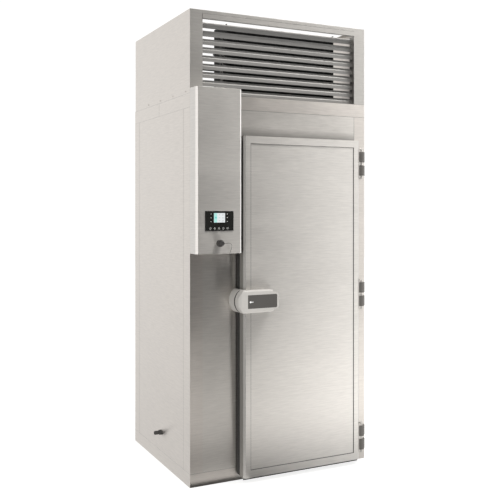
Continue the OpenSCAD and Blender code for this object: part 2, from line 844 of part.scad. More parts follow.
module socket_cap() {
    color(dark) in_cabinet() {
        // Plug inside the socket's nose
        rod_y(column_mid, [cap_y1, -column_d - flange_t - 2], socket_z, plug_r);
        // Six-sided cap that narrows to its tip
        intersection() {
            translate([column_mid, cap_y1, socket_z]) rotate([90, 0, 0])
                cylinder(h = cap_len, r = ring_d / 2 - 1, $fn = 6);
            translate([column_mid, cap_y1, socket_z]) rotate([90, 0, 0])
                cylinder(h = cap_len, r1 = ring_d / 2 - 1, r2 = ring_d / 2 - 8);
        }
        // Eye for the tether
        rod_x([column_mid + 5, tether_path[0][0]], tether_path[0][1], tether_path[0][2], tether_d / 2 + 0.8);
    }
}

// Tangent of a path at point i
function along(p, i) =
    let (a = p[max(i - 1, 0)], b = p[min(i + 1, len(p) - 1)]) (b - a) / norm(b - a);

// Point on a smooth curve through the path, between points i and i + 1
function smooth_at(p, i, t) =
    let (
        a = p[max(i - 1, 0)], b = p[i], c = p[i + 1], d = p[min(i + 2, len(p) - 1)],
        m0 = (c - a) / 2, m1 = (d - b) / 2
    )
    (2 * t ^ 3 - 3 * t ^ 2 + 1) * b + (t ^ 3 - 2 * t ^ 2 + t) * m0
    + (3 * t ^ 2 - 2 * t ^ 3) * c + (t ^ 3 - t ^ 2) * m1;

// Tube of s sides swept along a path
module tube(p, r, s) {
    n = len(p);
    side = [0.2, -1, 0.4];
    points = [for (i = [0 : n - 1]) let (
        t = along(p, i),
        u = cross(t, side) / norm(cross(t, side)),
        v = cross(t, u)
    ) for (k = [0 : s - 1]) p[i] + r * (cos(360 * k / s) * u + sin(360 * k / s) * v)];
    sides = [for (i = [0 : n - 2], k = [0 : s - 1], half = [0, 1])
        let (a = i * s + k, b = i * s + (k + 1) % s)
        half == 0 ? [a, b, a + s] : [b, b + s, a + s]];
    ends = [for (k = [1 : s - 2], e = [0, 1]) e == 0 ? [0, k + 1, k] : [(n - 1) * s, (n - 1) * s + k, (n - 1) * s + k + 1]];
    polyhedron(points, concat(sides, ends));
}

module cap_tether() {
    color("black") in_cabinet() tube(
        [for (i = [0 : len(tether_path) - 2], t = [0 : 0.25 : i == len(tether_path) - 2 ? 1 : 0.75])
            smooth_at(tether_path, i, t)],
        tether_d / 2, 8);
}

module tether_screw() {
    color("silver") in_cabinet() {
        rod_y(tether_foot[0], [-column_d - 4.5, -column_d], tether_foot[2] - 6, 4);
        // Small eye that the tether is crimped in
        rod_z(tether_foot[0], tether_foot[1], [tether_foot[2] - 6, tether_foot[2]], tether_d / 2 + 0.6);
    }
}

// ---- Evaporator section ----

module evaporator_coil() {
    color("lightgray") in_cabinet() {
        translate([evap_x[1], evap_y[0], evap_z[0]]) rotate(90) linear_extrude(evap_z[1] - evap_z[0])
            fin_plan(evap_y[1] - evap_y[0], evap_x[1] - evap_x[0]);
        // End plates fixed to the wall
        for (y = [evap_y[0] - 2, evap_y[1]])
            slab([wall_t, evap_x[1] + 5], [y, y + 2], [evap_z[0] - 5, evap_z[1] + 15]);
    }
}

module fan_panel() {
    color(steel) in_cabinet() difference() {
        union() {
            slab([cowl_x - sheet, cowl_x], cowl_y, [floor_h, wall_top]);
            for (y = [[cowl_y[0], cowl_y[0] + sheet], [cowl_y[1] - sheet, cowl_y[1]]])
                slab([cowl_x - cowl_return, cowl_x], y, [floor_h, wall_top]);
            // Rolled inlet rings
            for (z = evap_fan_z) rod_x([cowl_x - 26, cowl_x - sheet], evap_fan_y, z, evap_fan_d / 2 + 8);
        }
        for (z = evap_fan_z) rod_x([cowl_x - 27, cowl_x + 1], evap_fan_y, z, evap_fan_d / 2 + 6);
    }
}

module evaporator_fan_motors() {
    color(dark) in_cabinet() for (z = evap_fan_z)
        translate([cowl_x - sheet - motor_off, evap_fan_y, z]) rotate([0, 90, 0])
            fan_motor(evap_fan_d / 2 + 14, motor_off);
}

module evaporator_impeller(i) {
    color("gray") in_cabinet() translate([cowl_x - sheet - motor_off + 4, evap_fan_y, evap_fan_z[i]])
        rotate([0, 90, 0]) impeller(evap_fan_d);
}

module evaporator_impeller_low() { evaporator_impeller(0); }
module evaporator_impeller_mid() { evaporator_impeller(1); }
module evaporator_impeller_top() { evaporator_impeller(2); }

// Flat-wire guard over one evaporator fan
module fan_guard() {
    r1 = evap_fan_d / 2 + 16;
    for (r = [r1 - 3 : -20 : 50]) rotate_extrude() translate([r, 1]) square([2, 4]);
    for (a = [0 : 60 : 359]) rotate(a) translate([30, -3, 0]) cube([r1 - 30, 6, 3]);
    cylinder(h = 6, r = 42);
}

module fan_guards() {
    color("silver") in_cabinet() for (z = evap_fan_z)
        translate([cowl_x, evap_fan_y, z]) rotate([0, 90, 0]) fan_guard();
}

module drip_tray() {
    color(steel) in_cabinet() difference() {
        slab([wall_t, evap_x[1] + 12], inset(evap_y, -15), drip_z);
        slab([wall_t + sheet, evap_x[1] + 12 - sheet], inset(evap_y, sheet - 15), [drip_z[0] + sheet, drip_z[1] + 1]);
        rod_x([wall_t - 1, wall_t + 5], drain_y, drain_z, drain_thread_r + gap);
    }
}

module drain_spigot() {
    color(dark) in_cabinet() difference() {
        union() {
            rod_x([-drain_out, -nut_t], drain_y, drain_z, drain_d / 2);
            rod_x([-nut_t, wall_t + 8], drain_y, drain_z, drain_thread_r);
        }
        rod_x([-drain_out - 1, wall_t + 9], drain_y, drain_z, drain_bore / 2);
    }
}

module drain_nut() {
    color("gray") in_cabinet() difference() {
        rod_x([-nut_t, 0], drain_y, drain_z, drain_d / 2 + nut_rim);
        rod_x([-nut_t - 1, 1], drain_y, drain_z, drain_thread_r + run_c);
    }
}

// Bumper rail with bevelled edges along y
module trolley_guide() {
    rotate([90, 0, 180]) mirror([1, 0, 0]) linear_extrude(cowl_y[1] - cowl_y[0])
        polygon([[0, 0], [14, 0], [20, 6], [20, 54], [14, 60], [0, 60]]);
}

module trolley_guides() {
    color("silver") in_cabinet() for (z = guide_z) {
        translate([cowl_x, cowl_y[0], z]) trolley_guide();
        translate([in_x1, cowl_y[0], z]) mirror([1, 0, 0]) trolley_guide();
    }
}

// ---- Strike and lever latch ----

// Latch outline seen from the front, drawn d inside, with its nose at x = 0
module nose_outline(len, h, d = 0) {
    intersection() {
        translate([d, -h / 2 + d]) square([len - 2 * d, h - 2 * d]);
        union() {
            translate([nose_r, 0]) circle(r = nose_r - d, $fn = 96);
            translate([nose_r, -h]) square([len, 2 * h]);
        }
    }
}

// Latch plan seen from above, drawn d inside, with a rounded front nose
module lever_plan(d = 0) {
    r = lever_round - d;
    union() {
        translate([d + r, d - lever_t]) square([lever_len - 2 * d - r, lever_t - d + 1]);
        translate([d, d - lever_t + r]) square([lever_len - 2 * d, lever_t - d - r + 1]);
        translate([d + r, d - lever_t + r]) circle(r = r);
    }
}

// Latch section seen from the side, drawn d inside, with rounded front edges
module lever_side(d = 0) {
    r = lever_edge - d;
    h = lever_h / 2 - d;
    translate([d - lever_t + r, -h]) square([lever_t - d - r + 1, 2 * h]);
    translate([d - lever_t, r - h]) square([lever_t - d + 1, 2 * (h - r)]);
    for (s = [-1, 1]) translate([d - lever_t + r, s * (h - r)]) circle(r = r);
}

module strike_housing() {
    color([0.78, 0.76, 0.74]) in_cabinet() translate([lever_x, 0, lever_z]) rotate([90, 0, 0]) difference() {
        linear_extrude(-strike_front) nose_outline(strike_w, lever_h);
        translate([0, 0, -1]) linear_extrude(-strike_front - 4) nose_outline(strike_w, lever_h, 5);
    }
}

module handle_base() {
    color(dark) in_cabinet() difference() {
        union() {
            slab([door_x + 12, plate_x1], [door_front - 6, door_front], [lever_z - 44, lever_z + 44]);
            slab([door_x + rim_w + 2, plate_x1], [door_front, door_front + rim_step], [lever_z - 44, lever_z + 44]);
            slab([door_x + 16, door_x + 60], [pivot_y - 8, door_front - 5], [lever_z - 16, lever_z + 16]);
            slab([pivot_x, door_x + 20], [pivot_y - 8, pivot_y + 8], [lever_z - 16, lever_z + 16]);
            rod_z(pivot_x, pivot_y, [lever_z - 16, lever_z + 16], pivot_boss_r);
        }
        rod_z(pivot_x, pivot_y, [lever_z - 17, lever_z + 17], lever_pin_d / 2 + run_c);
        rod_y(release_x, [door_front - 7, door_front + rim_step + 1], lever_z, release_r + run_c);
    }
}

module handle_lever() {
    color([0.78, 0.76, 0.74]) in_cabinet() {
        translate([lever_x, lever_y, lever_z]) difference() {
            intersection() {
                rotate([90, 0, 0]) linear_extrude(lever_t) lever_outline();
                translate([0, 0, -lever_h]) linear_extrude(2 * lever_h) union() {
                    lever_flat_plan();
                    translate([lever_len - 10, -lever_t]) square([grip_len + 10, grip_t]);
                }
                rotate([90, 0, 90]) linear_extrude(lever_len + grip_len) lever_side();
            }
            intersection() {
                translate([0, 1, 0]) rotate([90, 0, 0]) linear_extrude(lever_t - lever_wall + 1)
                    nose_outline(lever_len, lever_h, lever_wall);
                translate([0, 0, -lever_h]) linear_extrude(2 * lever_h) lever_plan(lever_wall);
                rotate([90, 0, 90]) linear_extrude(lever_len + grip_len) lever_side(lever_wall);
            }
            // Shallow bed for the inlay
            inlay_plate([-lever_t - 1, -lever_t + inlay_t], 0.15);
        }
        // Pin that the lever turns on
        rod_z(pivot_x, pivot_y, [lever_z - lever_pin_half, lever_z + lever_pin_half], lever_pin_d / 2);
    }
}

// Outline of the whole lever: body with bevelled right corners and the grip tab
module lever_outline() {
    difference() {
        nose_outline(lever_len, lever_h);
        for (s = [-1, 1]) polygon([
            [lever_len - 12, s * lever_h / 2], [lever_len + 1, s * lever_h / 2],
            [lever_len + 1, s * (lever_h / 2 - 15)],
        ]);
    }
    translate([lever_len - 10, -grip_h / 2]) square([grip_len + 4, grip_h]);
    translate([lever_len + grip_len - 6, -grip_h / 2 + 6]) square([6, grip_h - 12]);
    for (s = [-1, 1]) translate([lever_len + grip_len - 6, s * (grip_h / 2 - 6)]) circle(r = 6);
}

module lever_flat_plan() {
    intersection() {
        lever_plan();
        translate([-1, -lever_t - 1]) square([lever_len + 2, lever_t + 1]);
    }
}

// Plate with round corners at the grip end, drawn over wider all round
module inlay_plate(y, over = 0) {
    x = inset(inlay_x, -over);
    h = inlay_h / 2 + over;
    translate([0, y[1], 0]) rotate([90, 0, 0]) linear_extrude(y[1] - y[0]) {
        translate([x[0], -h]) square([x[1] - x[0] - inlay_r, 2 * h]);
        translate([x[0], inlay_r - h]) square([x[1] - x[0], 2 * (h - inlay_r)]);
        for (s = [-1, 1]) translate([x[1] - inlay_r, s * (h - inlay_r)]) circle(r = inlay_r);
    }
}

module handle_inlay() {
    color([0.32, 0.30, 0.29]) in_cabinet() translate([lever_x, lever_y, lever_z])
        inlay_plate([-lever_t, -lever_t + inlay_t]);
}

module release_knob() {
    color("green") in_cabinet() {
        rod_y(release_x, [door_front - 10, plug_y + knob_travel + 8], lever_z, release_r);
        translate([release_x, plug_y + knob_travel + 4, lever_z]) rotate([-90, 0, 0]) {
            cylinder(h = 10, r = 30);
            translate([0, 0, 10]) cylinder(h = 6, r1 = 30, r2 = 24);
        }
    }
}

// ---- Door ----

// Door outline seen from above with bevelled front edges, drawn d inside
module door_plan(d = 0, over = 0) {
    b = door_bevel - 0.586 * d;
    back = over - door_gap;
    polygon([
        [door_x + d, back], [door_x + d, door_front + d + b], [door_x + d + b, door_front + d],
        [door_x1 - d - b, door_front + d], [door_x1 - d, door_front + d + b], [door_x1 - d, back],
    ]);
}

// Door with its recessed field, drawn d inside and its back moved out by over
module door_solid(d = 0, over = 0) {
    difference() {
        translate([0, 0, door_z + d]) linear_extrude(door_h - 2 * d) door_plan(d, over);
        slab([door_x + rim_w - d, door_x1 - rim_w + d], [door_front - 1, door_front + rim_step + d],
            [door_z + rim_w - d, door_top - rim_w + d]);
    }
}

module release_bore(r) {
    rod_y(release_x, [door_front - 20, plug_y + 20], lever_z, r);
}

module door_leaf() {
    color(steel) in_cabinet() difference() {
        union() {
            difference() {
                door_solid();
                door_solid(door_skin, 1);
            }
            // Folded edge round the back of the pan
            difference() {
                slab([door_x, door_x1], back_skin, [door_z, door_top]);
                slab(inset([door_x, door_x1], door_fold), [-door_gap - 5, 0], inset([door_z, door_top], door_fold));
            }
        }
        release_bore(release_r + 1);
    }
}

module door_foam() {
    color("khaki") in_cabinet() difference() {
        union() {
            intersection() {
                door_solid(door_skin);
                slab([door_x, door_x1], [door_front, back_skin[0]], [door_z, door_top]);
            }
            slab(inset(plug_x, door_skin), [back_skin[0] - 1, plug_y - door_skin], inset(plug_z, door_skin));
        }
        release_bore(release_r + 1);
    }
}

module door_liner() {
    color(steel) in_cabinet() difference() {
        union() {
            slab(inset([door_x, door_x1], door_fold + gap), back_skin, inset([door_z, door_top], door_fold + gap));
            slab(plug_x, [back_skin[0], plug_y], plug_z);
        }
        slab(inset(plug_x, door_skin), [back_skin[0] - 1, plug_y - door_skin], inset(plug_z, door_skin));
        release_bore(release_r + 1);
    }
}

module door_gasket() {
    color(dark) in_cabinet() difference() {
        slab([door_x + 2, door_x1 - 2], [-door_gap, -gap], [door_z + 2, frame_top]);
        slab([door_x + 2 + gasket_w, door_x1 - 2 - gasket_w], [-door_gap - 1, 1],
            [door_z + 2 + gasket_w, frame_top - gasket_w]);
        // Groove along the bellows of the section
        difference() {
            slab([door_x + 1, door_x1 - 1], [-door_gap * 0.62, -door_gap * 0.38], [door_z + 1, frame_top + 1]);
            slab([door_x + 7, door_x1 - 7], [-door_gap, 0], [door_z + 7, frame_top - 5]);
        }
    }
}

module door_sweep() {
    color(dark) in_cabinet() translate([door_x + 5, door_front + 10, door_z]) rotate([90, 0, 90])
        linear_extrude(door_w - 10)
            polygon([
                [0, 0], [sweep_w, 0], [sweep_w, -3], [14, -5],
                [12, -sweep_drop], [9, -sweep_drop], [9, -5], [0, -3],
            ]);
}

// ---- Hinges ----

module hinge_frame_leaves() {
    color("silver") in_cabinet() for (z = hinge_z)
        slab([hinge_x - hinge_r + 2, hinge_x + leaf_reach], [-leaf_t, 0], [z - hinge_h / 2, z + hinge_h / 2]);
}

module hinge_blocks() {
    color([0.42, 0.40, 0.38]) in_cabinet() for (z = hinge_z, b = block_z)
        translate([hinge_x, -hinge_off_y, z - hinge_h / 2]) difference() {
            union() {
                translate([0, 0, b[0]]) cylinder(h = b[1] - b[0], r = hinge_r);
                slab([-hinge_r, block_reach], [0, hinge_off_y - leaf_t], b);
            }
            translate([0, 0, b[0] - 1]) cylinder(h = b[1] - b[0] + 2, r = hinge_pin_d / 2 + run_c);
        }
}

module hinge_pins() {
    color("silver") in_cabinet() for (z = hinge_z) translate([hinge_x, -hinge_off_y, z - hinge_h / 2]) {
        translate([0, 0, -gap]) cylinder(h = hinge_h + 2 * gap, r = hinge_pin_d / 2);
        translate([0, 0, -gap - 3]) cylinder(h = 3, r = hinge_pin_d / 2 + 4);
        translate([0, 0, hinge_h + gap]) cylinder(h = 3, r = hinge_pin_d / 2 + 4);
    }
}

module hinge_door_leaves() {
    color("silver") in_cabinet() for (z = hinge_z) translate([0, 0, z - hinge_h / 2]) {
        slab([door_x1, door_x1 + leaf_t], [door_front + door_bevel + 2, -door_gap - 3], [0, hinge_h]);
        for (e = ear_z) difference() {
            union() {
                slab([door_x1, hinge_x], [-hinge_off_y - 8, -hinge_off_y + 8], inset(e, gap));
                rod_z(hinge_x, -hinge_off_y, inset(e, gap), ear_r);
            }
            rod_z(hinge_x, -hinge_off_y, inset(e, -1), hinge_pin_d / 2 + run_c);
        }
    }
}

floor_plate();
base_frame();
left_panel();
right_panel();
rear_panel();
front_left_panel();
lintel_panel();
front_ceiling_panel();
rear_ceiling_panel();
corner_posts();
panel_foam();
door_frame();
left_screen();
right_screen();
louvre_frame();
louvre_blades();
unit_tray();
compressor();
liquid_receiver();
condenser_coil();
condenser_shroud();
condenser_fan_motors();
condenser_impeller_left();
condenser_impeller_right();
refrigerant_pipes();
cable_gland();
control_column();
control_chassis();
display_glass();
display_screen();
probe_socket();
socket_ring();
socket_cap();
cap_tether();
tether_screw();
evaporator_coil();
fan_panel();
evaporator_fan_motors();
fan_guards();
evaporator_impeller_low();
evaporator_impeller_mid();
evaporator_impeller_top();
drip_tray();
drain_spigot();
drain_nut();
trolley_guides();
strike_housing();
hinge_frame_leaves();
hinge_blocks();
hinge_pins();
hinge_door_leaves();
door_leaf();
door_foam();
door_liner();
door_gasket();
door_sweep();
handle_base();
handle_lever();
handle_inlay();
release_knob();
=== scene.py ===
# %% [markdown]
# # A blast chiller, dressed in Blender
# The real object is a steel cabinet about 2.46 m high. A packed construction model already holds
# its panels, door, latch, hinges and machines in their places. This lesson gives every part its
# finish and adds the small trim that a workshop fits last. The first step loads the fixed model.
# Nothing in it is moved. All that follows has to stay inside it.

# %% Load the fixed model
import json
import math
from contextlib import contextmanager

import bpy
import bmesh
from mathutils import Matrix, Vector

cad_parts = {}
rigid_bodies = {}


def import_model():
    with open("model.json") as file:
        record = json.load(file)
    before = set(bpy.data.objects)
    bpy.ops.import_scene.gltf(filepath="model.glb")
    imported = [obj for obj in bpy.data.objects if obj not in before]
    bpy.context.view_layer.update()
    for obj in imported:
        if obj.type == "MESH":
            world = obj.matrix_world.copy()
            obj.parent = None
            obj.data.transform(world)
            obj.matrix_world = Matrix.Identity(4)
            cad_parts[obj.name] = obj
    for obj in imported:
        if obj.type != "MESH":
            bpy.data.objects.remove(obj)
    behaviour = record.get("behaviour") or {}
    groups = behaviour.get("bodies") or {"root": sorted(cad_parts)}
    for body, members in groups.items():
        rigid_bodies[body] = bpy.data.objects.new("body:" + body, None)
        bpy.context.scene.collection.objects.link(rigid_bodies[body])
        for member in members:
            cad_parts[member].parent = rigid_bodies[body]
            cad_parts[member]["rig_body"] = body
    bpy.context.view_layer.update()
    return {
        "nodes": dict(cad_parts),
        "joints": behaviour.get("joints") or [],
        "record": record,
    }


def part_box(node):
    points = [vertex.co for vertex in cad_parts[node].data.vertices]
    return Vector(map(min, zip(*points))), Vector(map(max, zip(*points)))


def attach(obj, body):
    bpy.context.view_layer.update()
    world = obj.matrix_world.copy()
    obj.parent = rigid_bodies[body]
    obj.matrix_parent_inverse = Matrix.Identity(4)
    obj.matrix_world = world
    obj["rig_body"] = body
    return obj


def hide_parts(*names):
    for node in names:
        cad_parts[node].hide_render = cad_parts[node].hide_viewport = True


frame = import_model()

# %% [markdown]
# The camera stands where the photographer stood, in front of the cabinet and to its left, 1.44 m
# above the floor. It looks straight ahead, so upright edges stay upright, and a small lens shift
# brings the whole height into the picture. A tilt would do that too, but it makes upright edges
# lean.

# %% Camera
CAMERA_PLACE = (-2.0095, -4.1155, 1.440)
CAMERA_TURN = math.radians(-26.36)
LENS_MM = 55.3
SENSOR_MM = 36.0
FAR_CLIP = 60.0
PICTURE_PX = 500
HORIZON_PX = 207.2


def placed(name, data):
    """A new object in the scene that carries the data."""
    made = bpy.data.objects.new(name, data)
    bpy.context.collection.objects.link(made)
    return made


camera_data = bpy.data.cameras.new("studio_camera")
camera_data.lens = LENS_MM
camera_data.sensor_width = SENSOR_MM
camera_data.shift_y = (HORIZON_PX - PICTURE_PX / 2) / PICTURE_PX
camera_data.clip_end = FAR_CLIP
camera = placed("studio_camera", camera_data)
camera.location = CAMERA_PLACE
camera.rotation_euler = (math.radians(90), 0, CAMERA_TURN)
bpy.context.scene.camera = camera
print("camera at", CAMERA_PLACE)

# %% [markdown]
# Sizes come from the model itself. `lo` and `hi` give the two corners of a node's box, in metres,
# and `corners` gives both, so a screw or a bead can be placed on the part that carries it and
# follows it if the part changes size. `MM` turns millimetres into metres.

# %% Measuring helpers
MM = 0.001


def lo(node):
    return Vector(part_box(node)[0])


def hi(node):
    return Vector(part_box(node)[1])


def corners(node):
    return lo(node), hi(node)


def middle(node):
    return (lo(node) + hi(node)) / 2


SLOT_OF = {part["node"]: part["material_slot"] for part in frame["record"]["subparts"]}

# %% [markdown]
# The cap of the probe socket hangs on a thin rubber tether, 2 mm thick and about 95 mm long. It
# comes straight out of the cap, bows over under its own weight and ends at a small screw. A curve
# with a round bevel is the natural tool for a cord, because its centre line keeps its length. The
# thickness is set as the radius of each point, and not as the bevel, because Blender counts the
# point radius when it measures the box of a curve. The points repeat the route of the plain tube
# in the model, and this curve stands for that tube.

# %% Tether of the socket cap
TETHER_D = 0.002
TETHER_ROUTE = [
    (-0.396, -0.5715, 1.256), (-0.3895, -0.572, 1.2565), (-0.3795, -0.5735, 1.257),
    (-0.3685, -0.5725, 1.256), (-0.3585, -0.5675, 1.252), (-0.3515, -0.5595, 1.244),
    (-0.3475, -0.5505, 1.233), (-0.3475, -0.5425, 1.223), (-0.348, -0.539, 1.216),
    (-0.348, -0.5385, 1.210),
]


def smooth_route(points, steps):
    """Points along one smooth curve through all the given ones."""
    ends = [points[0]] + list(points) + [points[-1]]
    route = []
    for a, b, c, d in zip(ends, ends[1:], ends[2:], ends[3:]):
        a, b, c, d = Vector(a), Vector(b), Vector(c), Vector(d)
        for step in range(steps):
            t = step / steps
            route.append(
                0.5 * (2 * b + (c - a) * t + (2 * a - 5 * b + 4 * c - d) * t * t
                       + (3 * b - a - 3 * c + d) * t ** 3)
            )
    return route + [Vector(points[-1])]


def round_curve(name, route, radius, resolution):
    """A curve with a round bevel and closed ends along a route."""
    curve = bpy.data.curves.new(name, "CURVE")
    curve.dimensions = "3D"
    curve.bevel_depth = radius
    curve.bevel_resolution = resolution
    curve.use_fill_caps = True
    line = curve.splines.new("POLY")
    line.points.add(len(route) - 1)
    for point, place in zip(line.points, route):
        point.co = (*place, 1)
    return placed(name, curve)


tether_points = smooth_route(TETHER_ROUTE, 4)
tether = round_curve("cap_tether_cord", tether_points, 1.0, 3)
tether.data.splines[0].use_smooth = True
for curve_point in tether.data.splines[0].points:
    curve_point.radius = TETHER_D / 2
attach(tether, "cabinet")
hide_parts("cap_tether")

# %% [markdown]
# ## Finishes
# Most of this cabinet is sheet steel with a ground, satin finish: belts run along the sheet and
# leave fine horizontal scratches. The scratches blur reflections up and down and leave streaks of
# slightly different tone. Each effect that several materials share is built once as a shader node
# group with named inputs and outputs. A group gives out plain values and colours, and the shader
# itself stays in each material.

# %% Node helpers
def feed(tree, node, inputs):
    """Gives each named input of a node a value, or a link where a socket is given."""
    for key, value in inputs.items():
        if isinstance(value, bpy.types.NodeSocket):
            tree.links.new(value, node.inputs[key])
        else:
            node.inputs[key].default_value = value


def add(tree, kind, inputs=None, **settings):
    """A new node with its settings and inputs."""
    node = tree.nodes.new(kind)
    for name, value in settings.items():
        setattr(node, name, value)
    feed(tree, node, inputs or {})
    return node


def stretched_noise(tree, vector, scale, detail, stretch=(1, 1, 1), roughness=0.5):
    """A noise texture on coordinates, stretched along the axes that have small factors."""
    squeeze = add(tree, "ShaderNodeMapping", {"Vector": vector, "Scale": stretch})
    return add(tree, "ShaderNodeTexNoise", {
        "Vector": squeeze.outputs["Vector"], "Scale": scale, "Detail": detail,
        "Roughness": roughness,
    }).outputs["Fac"]


def sum_of(tree, *terms):
    """The sum of (socket, factor) pairs."""
    total = 0
    for socket, factor in terms:
        term = {0: socket, 1: factor, 2: total}
        total = add(tree, "ShaderNodeMath", term, operation="MULTIPLY_ADD").outputs[0]
    return total


def spread(tree, value, low, high, to_low=0.0, to_high=1.0):
    """Maps a value from one range to another, and stops at the ends."""
    return add(tree, "ShaderNodeMapRange", {
        "Value": value, "From Min": low, "From Max": high, "To Min": to_low, "To Max": to_high,
    }).outputs["Result"]


def pattern_group(name, layout):
    """A shader node group that turns coordinates into the tone, blur and height of a layout."""
    group = bpy.data.node_groups.new(name, "ShaderNodeTree")
    group.interface.new_socket("Vector", in_out="INPUT", socket_type="NodeSocketVector")
    labels = ("Tone", "Blur", "Height")
    for label in labels:
        group.interface.new_socket(label, in_out="OUTPUT", socket_type="NodeSocketFloat")
    first, last = group.nodes.new("NodeGroupInput"), group.nodes.new("NodeGroupOutput")
    feed(group, last, dict(zip(labels, layout(group, first.outputs["Vector"]))))
    print(name, "has", len(group.nodes), "nodes")
    return group


print("node helpers ready")

# %% [markdown]
# The belt grain has three scales. Hair lines under a millimetre thick catch the light as bump.
# Streaks about 8 mm thick and 100 mm long show as bands of lighter and darker metal. Wide, faint
# clouds come from the pressure of the belt. All three use noise that is squeezed along Z, so the
# lines run horizontally round the whole cabinet.

# %% Group: belt grain
def belt_grain(group, place):
    """Hair lines, streaks and clouds, mixed into tone, blur and height."""
    hairs = stretched_noise(group, place, 14.0, 3, (1, 1, 70))
    streaks = stretched_noise(group, place, 13.0, 3, (1, 1, 11), 0.65)
    clouds = stretched_noise(group, place, 2.2, 2, (1, 1, 2.6))
    return (sum_of(group, (hairs, 0.25), (streaks, 0.55), (clouds, 0.20)),
            sum_of(group, (streaks, 0.55), (clouds, 0.45)),
            sum_of(group, (hairs, 0.6), (streaks, 0.4)))


grain_group = pattern_group("belt_grain", belt_grain)

# %% [markdown]
# Moulded plastic and enamel are smooth at first sight, yet a tool leaves a fine spark texture on
# plastic, and sprayed paint dries with a soft orange peel. One group gives both. A second, larger
# noise gives the faint change of tone that hands and dust leave.

# %% Group: moulded skin
def moulded_skin(group, place):
    """Fine grains for the height, and clouds and dust for tone and blur."""
    grains = stretched_noise(group, place, 900.0, 2)
    clouds = stretched_noise(group, place, 9.0, 3)
    dust = stretched_noise(group, place, 60.0, 4, (1, 1, 1), 0.7)
    return (sum_of(group, (clouds, 0.6), (dust, 0.4)),
            sum_of(group, (dust, 0.7), (clouds, 0.3)),
            grains)


skin_group = pattern_group("moulded_skin", moulded_skin)

# %% [markdown]
# Each material places one of the groups and lets its outputs move the colour, the roughness and
# the bump a little. A finish is then one line in a list: its shader values, how far the tone and
# the roughness vary, and how deep the bump is in millimetres. Satin steel also gets a tangent, so
# that its reflections stretch up and down, across the scratches.

# %% Material builder
TONE_NOISE, BLUR_NOISE = (0.32, 0.68), (0.3, 0.7)
QUARTER_TURN = 0.25


def shaded(name, colour, roughness, group, tone=0.10, blur=0.05, bump_mm=0.02, metallic=0.0,
           coat=0.0, stretch=0.0, glow=0.0):
    """A material from one of the groups. tone and blur are how far colour and roughness vary."""
    material = bpy.data.materials.new(name)
    material.use_nodes = True
    tree = material.node_tree
    shader = tree.nodes["Principled BSDF"]
    place = add(tree, "ShaderNodeTexCoord").outputs["Object"]
    pattern = add(tree, "ShaderNodeGroup", {"Vector": place}, node_tree=group).outputs
    dark, light = [(*(min(1.0, c * (1 + way * tone)) for c in colour), 1) for way in (-1, 1)]
    mixed = add(tree, "ShaderNodeMix", {
        "Factor": spread(tree, pattern["Tone"], *TONE_NOISE), "A": dark, "B": light,
    }, data_type="RGBA").outputs["Result"]
    bump = add(tree, "ShaderNodeBump", {
        "Distance": bump_mm * MM, "Strength": 1.0, "Height": pattern["Height"],
    })
    feed(tree, shader, {
        "Base Color": mixed,
        "Roughness": spread(tree, pattern["Blur"], *BLUR_NOISE, roughness - blur, roughness + blur),
        "Normal": bump.outputs["Normal"], "Metallic": metallic, "Coat Weight": coat,
    })
    if glow:
        feed(tree, shader, {"Emission Color": mixed, "Emission Strength": glow})
    if stretch:
        along = add(tree, "ShaderNodeTangent", direction_type="RADIAL", axis="Z")
        feed(tree, shader, {
            "Anisotropic": stretch, "Anisotropic Rotation": QUARTER_TURN,
            "Tangent": along.outputs["Tangent"],
        })
    return material


print("material builder ready")
